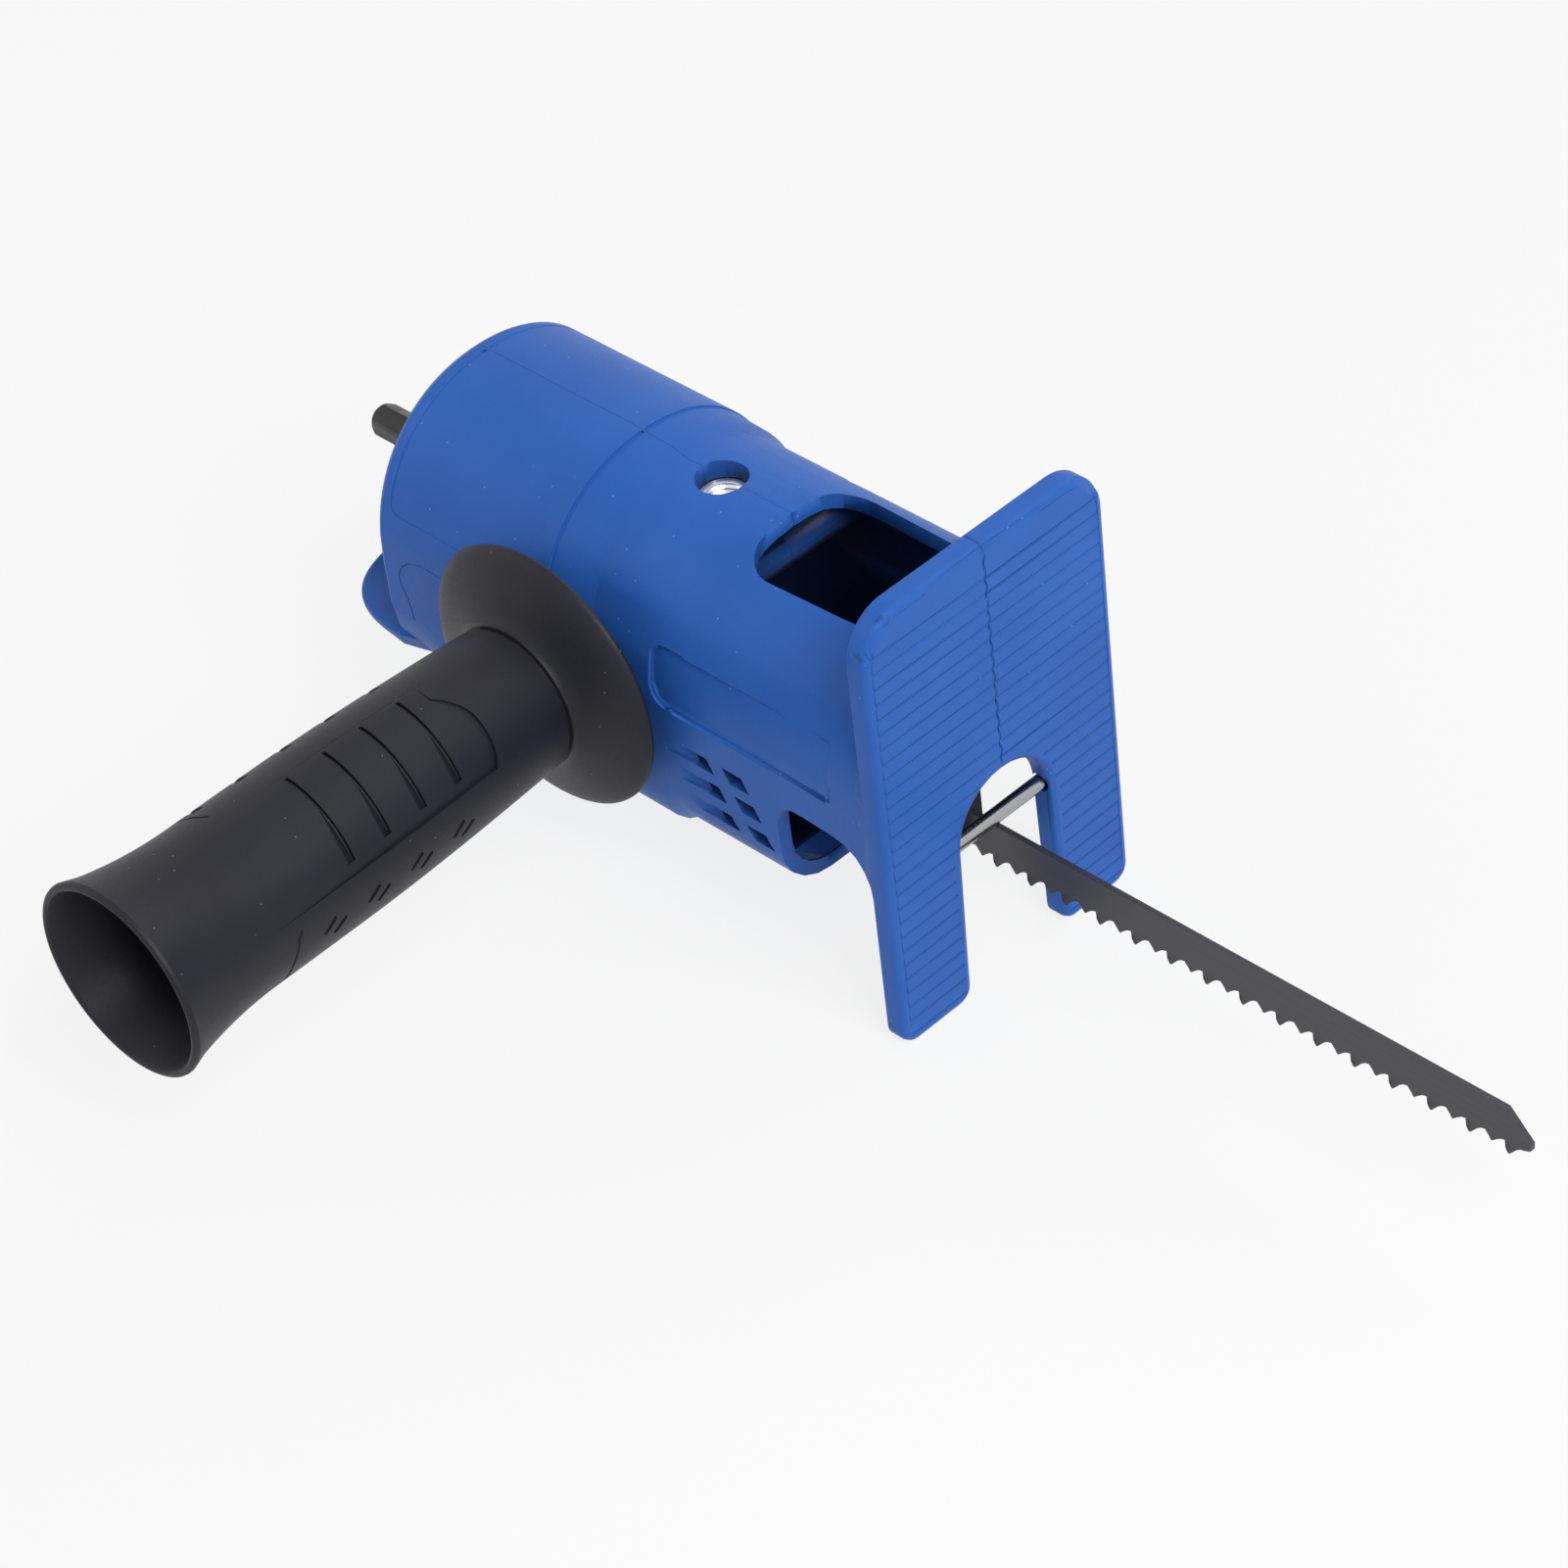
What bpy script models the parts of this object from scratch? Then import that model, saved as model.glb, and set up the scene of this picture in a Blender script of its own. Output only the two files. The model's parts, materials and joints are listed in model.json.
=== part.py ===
"""Reciprocating saw attachment that a power drill drives through a hex shank.

A split plastic housing carries a shaft on two bearings. A tilted hub on the shaft rocks a
wobble ring, whose finger drives a sliding rod with the saw blade clamped to its front end.
A side handle is bolted to a nut in the housing.

Sizes are in millimetres and meshes are scaled to metres when they are made.
+X runs forward along the drive axis, +Y to the tool's left and +Z up. The origin is the
centre of the hex shank's rear end face.
"""
import math

import bmesh
import bpy
from mathutils import Matrix, Vector

MM = 0.001

# Clearances
GAP = 0.3           # between pieces that touch or fit
RUN = 0.65          # beyond the end of a stroke

# Housing, along the drive axis
SHANK_LENGTH = 34.0     # end of the hex shank to the rim of the barrel
BARREL_LENGTH = 47.0    # rim to the step line
NECK_LENGTH = 11.0      # tapering neck in front of the step
BODY_LENGTH = 129.3     # rim to the back of the shoe
WALL = 3.0
SEAM = 0.3              # gap between the housing halves

# Housing sections: half width, top and bottom, measured from the drive axis
BARREL_HALF = 31.3
BARREL_TOP = 33.2
BARREL_BOTTOM = 33.0
FRONT_HALF = 29.2
FRONT_TOP = 31.7
FRONT_BOTTOM = 31.4
LOWER_CORNER = 12.0     # radius of the lower corners
WAIST_CORNER = 17.5     # and where the underside is drawn in
CROWN_POWER = 2.15      # the crown is a superellipse of this power
STEP_DROP = 0.3
GRIP_WAIST = 4.6        # how far the underside draws in for the fingers behind the rim
RIM_ROUND = 1.7
BULGE_BOTTOM = 33.9     # deeper underside below the handle
BULGE_END = 73.5        # rim to its front end
FLARE_LENGTH = 18.0     # where the body widens to the shoe

# Hand guard behind the rim
CHIN_LENGTH = 23.0
CHIN_HALF = 30.1
CHIN_MID = 19.4         # its widest height below the axis
CHIN_UP = 4.4           # how far the edge of its top would arch up
CHIN_DIP = 6.4          # and how far the top is hollowed below that arch
CHIN_DOWN = 11.2
CHIN_POWER = 2.1        # its section is a superellipse of this power
CHIN_ROOT = 12.0        # how far it runs forward under the barrel
NOSE_POWER = 3.0

# Walls inside the housing, measured from the rim
REAR_RECESS = 5.0
REAR_WALL_FRONT = 15.0
MID_WALL_BACK = 57.0
MID_WALL_THICKNESS = 8.0
PEDESTAL_BACK = 76.0
PEDESTAL_LENGTH = 7.0
PEDESTAL_HALF = 10.0
LIP_SETBACK = 25.3      # back of the shoe to the front of the low front wall
LIP_HEIGHT = 9.4
LIP_GAP_HALF = 8.5

# Shoe
SHOE_THICKNESS = 4.8
SHOE_HALF = 30.8
SHOE_TOP = 47.4
SHOE_BOTTOM = 50.9
SHOE_TOP_CORNER = 10.0
LEG_OUTER_CORNER = 3.6
LEG_INNER_CORNER = 3.2
NOTCH_HALF = 11.7
NOTCH_TOP = 4.2         # below the drive axis
NOTCH_DRAFT = 0.9
SHOE_EDGE = 1.4
GROOVE_PITCH = 3.4
GROOVE_WIDTH = 0.55
GROOVE_DEPTH = 0.4
GROOVE_TOP_BAND = 10.7
GROOVE_MARGIN = 2.4

# Openings of the housing
WINDOW_LENGTH = 43.8
WINDOW_HALF = 14.4
WINDOW_CORNER = 7.0
WINDOW_TAPER = 1.2       # narrowing of each side toward the shoe
ARCH_LENGTH = 25.0
ARCH_TOP = 7.6          # below the drive axis
ARCH_CORNER = 5.0
ARCH_LEG_ROUND = 9.5
PANEL_SETBACK = 55.8    # back of the shoe to the rear end of the side recess
PANEL_LENGTH = 45.8
PANEL_BASE = 0.4
PANEL_HEIGHT = 16.1
PANEL_DEPTH = 1.1
PANEL_RUN_OUT = 0.2     # above the skin at its front end
PANEL_CORNER = 4.0
VENT_SETBACK = 38.6     # back of the shoe to the rear end of the front column
VENT_TOP = 6.7
VENT_LENGTH = 5.0
VENT_HEIGHT = 3.1
VENT_SLANT = 1.8
VENT_COLUMN_PITCH = 9.0
VENT_ROW_PITCH = 5.6
VENT_ROW_SHIFT = 2.5
VENT_COLUMNS = 2
VENT_ROWS = 3

# Drive shaft and bearings
HEX_FLATS = 6.35
SHAFT_R = 5.0
SHAFT_NOSE_R = 4.0
COLLAR_R = 6.8
COLLAR_LENGTH = 2.4
REAR_BEARING_R = 13.0
REAR_BEARING_WIDTH = 8.0
FRONT_BEARING_R = 11.0
FRONT_BEARING_WIDTH = 7.0
RACE_THICKNESS = 2.2
BEARING_LIP = 1.2

# Wobble drive
RING_STATION = 30.0     # rim to the centre of the wobble ring
TILT = math.radians(20.0)
HUB_R = 10.0
HUB_HALF = 6.4
HUB_FLANGE = 1.8
RACE_HALF = 4.5
INNER_RACE = 1.5
OUTER_RACE = 1.7
RING_THICKNESS = 3.0
RING_HALF = 5.0
CLIP_WIDTH = 1.0
CLIP_HEIGHT = 1.1
FINGER_R = 3.5
FINGER_PLAY = 1.0
SET_SCREW_R = 2.0
SET_SCREW_LENGTH = 4.0

# Slide rod and blade clamp
ROD_DROP = 22.5         # rod axis below the drive axis
ROD_R = 4.0
BUSH_WALL = 2.5
YOKE_CHEEK = 2.6
YOKE_TOP = 4.2          # above the rod axis
FINGER_REACH = 2.0      # tip of the finger below the rod axis
STROKE = 14.7
CLAMP_LENGTH = 30.5
CLAMP_HALF = 6.0
CLAMP_UP = 5.6
CLAMP_DOWN = 4.9
CLAMP_SOCKET = 9.0
CROSS_PIN_R = 1.5
GRUB_R = 2.0
GRUB_SPACING = 9.0
GRUB_SETBACK = 6.5

# Saw blade
BLADE_LENGTH = 152.0
BLADE_THICKNESS = 1.2
BLADE_GRIP = 19.4       # shank length inside the clamp
BLADE_BACK = 18.65      # back of the blade below the drive axis
BLADE_BODY = 7.55       # back to gullets
TOOTH_HEIGHT = 2.3
TOOTH_PITCH = 25.4 / 6
PLAIN_LENGTH = 27.8     # shank end to the first tooth
TIP_LAND = 1.3          # last tooth to the tip
TIP_SLANT = 5.2
TIP_DROP = 5.5
TANG_HALF = 3.2
TANG_LENGTH = 20.0
LUG_LENGTH = 3.0
LUG_BACK = 4.0

# Guide pin in the shoe
PIN_R = 1.9
PIN_HALF_LENGTH = 20.0

# Handle and its nuts
HANDLE_STATION = 51.5   # rim to the handle axis
HANDLE_LENGTH = 109.6
HANDLE_LEAN = math.radians(1.1)     # the grip leans forward on its nut
FLANGE_R = 27.9
FLANGE_RISE = 4.0
FLANGE_EDGE = 1.1
FLANGE_DEPTH = 7.6      # flange edge to the neck
SEAT_R = 11.0
NECK_R = 15.0
NECK_GROOVE = 0.6
GRIP_R = 17.0
MOUTH_R = 20.3
MOUTH_FLARE = 24.0      # length over which the grip widens to the mouth
GRIP_WALL = 3.2
GRIP_SOLID = 28.0       # solid length behind the seat
BOLT_R = 4.0
BOLT_END = 20.0         # tip of the bolt from the drive axis
BOLT_HEAD_HEIGHT = 5.3
NUT_FLATS = 13.0
NUT_HEIGHT = 6.5
SIDE_NUT_INNER = 20.0   # inner face of a side nut from the drive axis
TOP_NUT_STATION = 67.3
TOP_NUT_INNER = 21.0
NUT_BOSS_WALL = 2.6

# Housing screws along Y: station from the rim and height
SCREW_PLACES = ((10.0, 22.0), (10.0, -23.5), (61.0, 15.6), (80.0, 21.0))
SCREW_R = 1.7
SCREW_HEAD_R = 3.3
SCREW_HEAD_HEIGHT = 2.4
SCREW_SEAT = 17.0       # head seat from the seam
SCREW_REACH = 16.0      # tip on the other side of the seam
SCREW_BOSS_R = 4.2

# Facets
ROUND = 24
FINE = 32
CROWN_STEPS = 22
CORNER_STEPS = 5
CHIN_STEPS = 12
CHIN_SHARES = (0.99, 0.94, 0.85, 0.72, 0.55, 0.36, 0.18, 0.0)

RIM = SHANK_LENGTH
SHOE_BACK = RIM + BODY_LENGTH
SHOE_FRONT = SHOE_BACK + SHOE_THICKNESS
RING_X = RIM + RING_STATION
HANDLE_X = RIM + HANDLE_STATION
TOP_NUT_X = RIM + TOP_NUT_STATION
FIT = GAP / 2
BEYOND = 60.0           # reach of a cutter past the housing

BLUE = (0.045, 0.14, 0.50)
CHARCOAL = (0.022, 0.022, 0.026)
BLACK_OXIDE = (0.018, 0.018, 0.020)
BLADE_GREY = (0.045, 0.042, 0.048)
BRIGHT_STEEL = (0.62, 0.62, 0.64)
ZINC = (0.75, 0.76, 0.78)
BRONZE = (0.45, 0.28, 0.12)
GREY_STEEL = (0.34, 0.34, 0.36)


def clear_scene():
    for old in list(bpy.data.objects):
        bpy.data.objects.remove(old, do_unlink=True)


def material(name, colour, roughness, metallic):
    found = bpy.data.materials.get(name)
    if found:
        return found
    made = bpy.data.materials.new(name)
    made.use_nodes = True
    shader = made.node_tree.nodes["Principled BSDF"]
    shader.inputs["Base Color"].default_value = (*colour, 1.0)
    shader.inputs["Roughness"].default_value = roughness
    shader.inputs["Metallic"].default_value = metallic
    return made


def plastic(name, colour):
    return material(name, colour, 0.5, 0.0)


def metal(name, colour, roughness=0.35):
    return material(name, colour, roughness, 1.0)


# Solids, in millimetres
def loft(rings):
    """Closed body through rings that have the same number of points."""
    body = bmesh.new()
    rows = [[body.verts.new(point) for point in ring] for ring in rings]
    count = len(rows[0])
    for low, high in zip(rows, rows[1:]):
        for i in range(count):
            j = (i + 1) % count
            body.faces.new((low[i], low[j], high[j], high[i]))
    body.faces.new(rows[0])
    body.faces.new(rows[-1])
    bmesh.ops.recalc_face_normals(body, faces=body.faces)
    return body


def along(axis, height, outline):
    """Ring of a flat outline at one height on an axis, its points in cyclic axis order."""
    if axis == "X":
        return [(height, a, b) for a, b in outline]
    if axis == "Y":
        return [(b, height, a) for a, b in outline]
    return [(a, b, height) for a, b in outline]


def prism(axis, low, high, outline):
    return loft([along(axis, low, outline), along(axis, high, outline)])


def box(low, high):
    outline = ((low[1], low[2]), (high[1], low[2]), (high[1], high[2]), (low[1], high[2]))
    return prism("X", low[0], high[0], outline)


def disc(radius, steps, centre=(0.0, 0.0), turn=0.0):
    angles = (turn + 2 * math.pi * i / steps for i in range(steps))
    return [(centre[0] + radius * math.cos(a), centre[1] + radius * math.sin(a)) for a in angles]


def cylinder(axis, low, high, radius, centre=(0.0, 0.0), steps=ROUND):
    return prism(axis, low, high, disc(radius, steps, centre, math.pi / steps))


def hexagon(axis, low, high, flats, centre=(0.0, 0.0)):
    return prism(axis, low, high, disc(flats / math.sqrt(3), 6, centre, math.pi / 6))


def turned(axis, profile, steps=ROUND, centre=(0.0, 0.0)):
    """Body of revolution from a closed profile of (position on the axis, radius)."""
    body = bmesh.new()
    rows = []
    for place, radius in profile:
        if radius < 1e-9:
            rows.append([body.verts.new(along(axis, place, [centre])[0])])
        else:
            ring = along(axis, place, disc(radius, steps, centre))
            rows.append([body.verts.new(point) for point in ring])
    for low, high in zip(rows, rows[1:] + rows[:1]):
        for i in range(steps):
            j = (i + 1) % steps
            corners = [low[i % len(low)], low[j % len(low)], high[j % len(high)], high[i % len(high)]]
            face = list(dict.fromkeys(corners))
            if len(face) > 2:
                body.faces.new(face)
    bmesh.ops.recalc_face_normals(body, faces=body.faces)
    return body


def tube(axis, low, high, inner, outer, centre=(0.0, 0.0), steps=ROUND):
    profile = ((low, inner), (low, outer), (high, outer), (high, inner))
    return turned(axis, profile, steps, centre)


def arc(centre, radius, start, stop, steps):
    turns = (start + (stop - start) * i / steps for i in range(steps + 1))
    return [
        (centre[0] + radius * math.cos(math.radians(a)), centre[1] + radius * math.sin(math.radians(a)))
        for a in turns
    ]


# Objects
def make(name, body, finish=None, parent=None, frame=None):
    """Object from a body in millimetres; frame places the body before it is scaled."""
    if frame:
        body.transform(frame)
    body.transform(Matrix.Scale(MM, 4))
    mesh = bpy.data.meshes.new(name)
    body.to_mesh(mesh)
    body.free()
    made = bpy.data.objects.new(name, mesh)
    bpy.context.collection.objects.link(made)
    if finish:
        mesh.materials.append(finish)
    made.parent = parent
    mesh.shade_smooth()
    mesh.set_sharp_from_angle(angle=math.radians(32))
    return made


def combine(target, body, operation):
    """Boolean of an object with a body in millimetres, applied at once."""
    tool = make("tool", body, parent=target.parent)
    step = target.modifiers.new("step", "BOOLEAN")
    step.operation = operation
    step.solver = "EXACT"
    step.object = tool
    bpy.context.view_layer.update()
    done = bpy.data.meshes.new_from_object(target.evaluated_get(bpy.context.evaluated_depsgraph_get()))
    target.modifiers.remove(step)
    old = target.data
    done.name = old.name
    target.data = done
    bpy.data.meshes.remove(old)
    bpy.data.objects.remove(tool, do_unlink=True)


def cut(target, body):
    combine(target, body, "DIFFERENCE")


def join(target, body):
    combine(target, body, "UNION")


def tidy(target):
    """Merge doubled points and dissolve flat edges that the booleans leave behind."""
    body = bmesh.new()
    body.from_mesh(target.data)
    bmesh.ops.remove_doubles(body, verts=body.verts, dist=0.002 * MM)
    bmesh.ops.dissolve_degenerate(body, dist=0.002 * MM, edges=body.edges)
    bmesh.ops.dissolve_limit(
        body, angle_limit=math.radians(0.2), verts=body.verts, edges=body.edges
    )
    bmesh.ops.triangulate(body, faces=body.faces)
    body.to_mesh(target.data)
    body.free()
    target.data.set_sharp_from_angle(angle=math.radians(32))


def empty(name, place, turn=None):
    made = bpy.data.objects.new(name, None)
    bpy.context.collection.objects.link(made)
    made.location = Vector(place) * MM
    if turn:
        made.rotation_euler = turn
    return made


# Housing sections
def signed_power(value, power):
    return math.copysign(abs(value) ** power, value)


def trough(half, bottom, corner):
    """Lower side of a section, from the left side to the right side under the axis."""
    left = arc((-(half - corner), -(bottom - corner)), corner, 180, 270, CORNER_STEPS)
    right = arc((half - corner, -(bottom - corner)), corner, 270, 360, CORNER_STEPS)
    return left + right


def section(half, top, bottom, corner):
    crown = []
    for i in range(CROWN_STEPS + 1):
        angle = math.pi * i / CROWN_STEPS
        y = half * signed_power(math.cos(angle), 2 / CROWN_POWER)
        z = top * signed_power(math.sin(angle), 2 / CROWN_POWER)
        crown.append((y, z))
    return crown + trough(half, bottom, corner)


def scoop(half, top, bottom, corner):
    """Section with a flat top, for the hand guard and the low front wall."""
    return [(half, top), (-half, top)] + trough(half, bottom, corner)


def body_stations():
    """Stations of the outer housing: place, half width, top, bottom and corner radius."""
    step = RIM + BARREL_LENGTH
    neck = step + NECK_LENGTH
    bulge = RIM + BULGE_END
    waist = BARREL_BOTTOM - GRIP_WAIST
    half = BARREL_BOTTOM - GRIP_WAIST / 2
    flare = (SHOE_HALF - FRONT_HALF) / 4
    edge = RIM_ROUND
    soft = 0.35 * RIM_ROUND
    drop = STEP_DROP
    return (
        (RIM, BARREL_HALF - edge, BARREL_TOP - edge, waist - edge, WAIST_CORNER),
        (RIM + soft, BARREL_HALF - soft, BARREL_TOP - soft, waist - soft, WAIST_CORNER),
        (RIM + edge, BARREL_HALF, BARREL_TOP, waist, WAIST_CORNER),
        (RIM + 0.15 * BARREL_LENGTH, BARREL_HALF, BARREL_TOP, waist, WAIST_CORNER),
        (RIM + 0.3 * BARREL_LENGTH, BARREL_HALF, BARREL_TOP, half, WAIST_CORNER),
        (RIM + 0.6 * BARREL_LENGTH, BARREL_HALF, BARREL_TOP, BARREL_BOTTOM - GRIP_WAIST / 4, WAIST_CORNER),
        (step, BARREL_HALF, BARREL_TOP, BARREL_BOTTOM, LOWER_CORNER),
        (step + drop, BARREL_HALF - drop, BARREL_TOP - drop, BARREL_BOTTOM, LOWER_CORNER),
        (neck - 0.3 * NECK_LENGTH, BARREL_HALF - 2 * drop, BARREL_TOP - 2 * drop, BULGE_BOTTOM, LOWER_CORNER),
        (neck, FRONT_HALF, FRONT_TOP, BULGE_BOTTOM, LOWER_CORNER),
        (bulge, FRONT_HALF, FRONT_TOP, BULGE_BOTTOM, LOWER_CORNER),
        (bulge + WALL, FRONT_HALF, FRONT_TOP, FRONT_BOTTOM, LOWER_CORNER),
        (SHOE_BACK - FLARE_LENGTH, FRONT_HALF, FRONT_TOP, FRONT_BOTTOM, LOWER_CORNER),
        (SHOE_BACK - FLARE_LENGTH / 2, FRONT_HALF + flare, FRONT_TOP + flare, FRONT_BOTTOM, LOWER_CORNER),
        (SHOE_BACK - FLARE_LENGTH / 6, FRONT_HALF + 2 * flare, FRONT_TOP + 3 * flare, FRONT_BOTTOM, LOWER_CORNER),
        (SHOE_BACK, FRONT_HALF + 3 * flare, FRONT_TOP + 7 * flare, FRONT_BOTTOM, LOWER_CORNER),
        (SHOE_BACK + SHOE_THICKNESS / 2, FRONT_HALF + 3 * flare, FRONT_TOP + 7 * flare, FRONT_BOTTOM,
         LOWER_CORNER),
    )


def station_at(place, stations):
    for back, front in zip(stations, stations[1:]):
        if back[0] <= place <= front[0]:
            share = (place - back[0]) / (front[0] - back[0])
            return tuple(a + (b - a) * share for a, b in zip(back, front))
    return (place, *stations[-1][1:])


def hollow(low, high, stations):
    """Inner space of the housing between two places."""
    places = [low] + [s[0] for s in stations if low < s[0] < high] + [high]
    rings = []
    for place in places:
        _, half, top, bottom, corner = station_at(place, stations)
        inner = section(half - WALL, top - WALL, bottom - WALL, corner - WALL)
        rings.append(along("X", place, inner))
    return loft(rings)


def oval(half, rise, dip, start, stop):
    """Part of the hand guard's section between two half turns, its top hollowed by a dip."""
    points = []
    for i in range(start, stop + 1):
        angle = math.pi * i / CHIN_STEPS
        y = half * signed_power(math.cos(angle), 2 / CHIN_POWER)
        z = rise * signed_power(math.sin(angle), 2 / CHIN_POWER) - dip * math.sin(angle) ** 2
        points.append((y, z - CHIN_MID))
    return points


def nose_size(share):
    return (1 - share ** NOSE_POWER) ** (1 / NOSE_POWER)


def chin():
    """Hand guard behind the rim: a bill with a round nose and a shallow hollow for the chuck."""
    rings = []
    for share in CHIN_SHARES:
        size = nose_size(share)
        upper = oval(CHIN_HALF * size, CHIN_UP * size, CHIN_DIP * size, 0, CHIN_STEPS)
        lower = oval(CHIN_HALF * size, CHIN_DOWN * size, 0.0, CHIN_STEPS + 1, 2 * CHIN_STEPS - 1)
        rings.append(along("X", RIM - CHIN_LENGTH * share, upper + lower))
    shrink = 0.9
    root = [(y * shrink, -CHIN_MID + (z + CHIN_MID) * shrink) for _, y, z in rings[-1]]
    rings.append(along("X", RIM + CHIN_ROOT, root))
    return loft(rings)


def shoe_outline(inset):
    """Shoe seen from the front, drawn in by an inset at its edges."""
    half = SHOE_HALF - inset
    top = SHOE_TOP - inset
    bottom = -SHOE_BOTTOM + inset
    notch = NOTCH_HALF + inset
    foot = notch + NOTCH_DRAFT
    corner = SHOE_TOP_CORNER - inset
    outer = LEG_OUTER_CORNER - inset
    inner = LEG_INNER_CORNER - inset
    crown = -NOTCH_TOP - NOTCH_HALF
    right = arc((half - corner, top - corner), corner, 90, 0, CORNER_STEPS)
    right += arc((half - outer, bottom + outer), outer, 0, -90, CORNER_STEPS)
    right += arc((foot + inner, bottom + inner), inner, -90, -180, CORNER_STEPS)
    right += arc((0.0, crown), notch, 0, 90, CORNER_STEPS + 2)
    left = [(-y, z) for y, z in reversed(right[:-1])]
    return right + left


def shoe():
    edge = SHOE_EDGE
    rings = (
        (SHOE_BACK, 0.3 * edge),
        (SHOE_BACK + 0.3 * edge, 0.0),
        (SHOE_FRONT - edge, 0.0),
        (SHOE_FRONT - 0.3 * edge, 0.3 * edge),
        (SHOE_FRONT, edge),
    )
    return loft([along("X", place, shoe_outline(inset)) for place, inset in rings])


def shoe_grooves():
    """Shallow level grooves across each half of the shoe's face."""
    body = bmesh.new()
    height = SHOE_TOP - GROOVE_TOP_BAND
    inner_leg = NOTCH_HALF + NOTCH_DRAFT + GROOVE_MARGIN
    while height > -SHOE_BOTTOM + LEG_OUTER_CORNER:
        start = GROOVE_MARGIN / 2 if height > -NOTCH_TOP + GROOVE_WIDTH else inner_leg
        for side in (-1, 1):
            ends = sorted((side * start, side * (SHOE_HALF - GROOVE_MARGIN)))
            low = (SHOE_FRONT - GROOVE_DEPTH, ends[0], height - GROOVE_WIDTH / 2)
            high = (SHOE_FRONT + 1, ends[1], height + GROOVE_WIDTH / 2)
            add(body, box(low, high))
        height -= GROOVE_PITCH
    return body


def add(body, extra):
    """Put a second, separate body into the first."""
    mesh = bpy.data.meshes.new("extra")
    extra.to_mesh(mesh)
    extra.free()
    body.from_mesh(mesh)
    bpy.data.meshes.remove(mesh)


def window():
    back = SHOE_BACK - WINDOW_LENGTH
    r = WINDOW_CORNER
    outline = arc((back + r, WINDOW_HALF - r), r, 90, 180, CORNER_STEPS)
    outline += arc((back + r, -WINDOW_HALF + r), r, 180, 270, CORNER_STEPS)
    front_half = WINDOW_HALF - WINDOW_TAPER
    outline += [(SHOE_FRONT + 1, -front_half), (SHOE_FRONT + 1, front_half)]
    return prism("Z", FRONT_TOP / 2, BEYOND, outline)


def arch():
    """Gap between the underside and the legs of the shoe, seen from the side as (z, x)."""
    back = SHOE_BACK - ARCH_LENGTH
    low = -ARCH_TOP
    r = ARCH_CORNER
    leg = ARCH_LEG_ROUND
    outline = [(-BEYOND, back)]
    outline += arc((low - r, back + r), r, 270, 360, CORNER_STEPS)
    outline += arc((low - leg, SHOE_BACK - leg), leg, 0, 90, CORNER_STEPS)
    outline += [(low - leg, SHOE_FRONT + 1), (-BEYOND, SHOE_FRONT + 1)]
    return prism("Y", -BEYOND, BEYOND, outline)


def panel_heights():
    """Heights of the side recess above its base, with how far its rear end is rounded off there."""
    r = PANEL_CORNER
    low = []
    for degrees in (0, 45, 90):
        turn = math.radians(degrees)
        low.append((r * (1 - math.cos(turn)), r * (1 - math.sin(turn))))
    high = [(PANEL_HEIGHT - height, inset) for height, inset in reversed(low)]
    return low + [(PANEL_HEIGHT / 2, 0.0)] + high


def side_panel(side):
    """Recess that follows the skin, deepest at its rear end and running out to the front."""
    back = SHOE_BACK - PANEL_SETBACK
    front = back + PANEL_LENGTH
    rings = []
    for height, inset in panel_heights():
        z = PANEL_BASE + height
        skin = FRONT_HALF * (1 - (z / FRONT_TOP) ** CROWN_POWER) ** (1 / CROWN_POWER)
        rear = skin - PANEL_DEPTH
        run_out = skin + PANEL_RUN_OUT
        ring = [(back + inset, rear), (front, run_out), (front, BEYOND), (back + inset, BEYOND)]
        rings.append([(x, side * y, z) for x, y in ring])
    return loft(rings)


def vents(side):
    body = bmesh.new()
    for row in range(VENT_ROWS):
        for column in range(VENT_COLUMNS):
            x = SHOE_BACK - VENT_SETBACK + VENT_ROW_SHIFT * row - VENT_COLUMN_PITCH * column
            z = -VENT_TOP - VENT_ROW_PITCH * row
            low = z - VENT_HEIGHT
            outline = (
                (z, x),
                (z, x + VENT_LENGTH),
                (low, x + VENT_LENGTH + VENT_SLANT),
                (low, x + VENT_SLANT),
            )
            ends = sorted((side * FRONT_HALF / 2, side * BEYOND))
            add(body, prism("Y", ends[0], ends[1], outline))
    return body


def nut_boss_radius():
    return NUT_FLATS / math.sqrt(3) + NUT_BOSS_WALL


def side_nut_space(side):
    """Pocket of a side nut, open to the inside, and the bolt hole outside it."""
    inner = SIDE_NUT_INNER - 2 * NUT_BOSS_WALL
    seat = SIDE_NUT_INNER + NUT_HEIGHT + FIT
    ends = sorted((side * inner, side * seat))
    body = hexagon("Y", ends[0], ends[1], NUT_FLATS + GAP, (0.0, HANDLE_X))
    hole_ends = sorted((side * (seat - 1), side * BEYOND))
    return body, cylinder("Y", hole_ends[0], hole_ends[1], BOLT_R + 1.2, (0.0, HANDLE_X))


def screw_holes(place):
    station, height = place
    centre = (height, RIM + station)
    pilot = cylinder("Y", -SCREW_REACH - GAP, SCREW_SEAT + 1, SCREW_R + GAP, centre, 14)
    sink = cylinder("Y", SCREW_SEAT, BEYOND, SCREW_HEAD_R + GAP, centre, 18)
    return pilot, sink


def rod_bore(low, high, radius):
    return cylinder("X", low, high, radius, (0.0, -ROD_DROP))


def guide_pin_centre():
    return (-BLADE_BACK + GAP + PIN_R, SHOE_BACK + SHOE_THICKNESS * 0.4)


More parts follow.
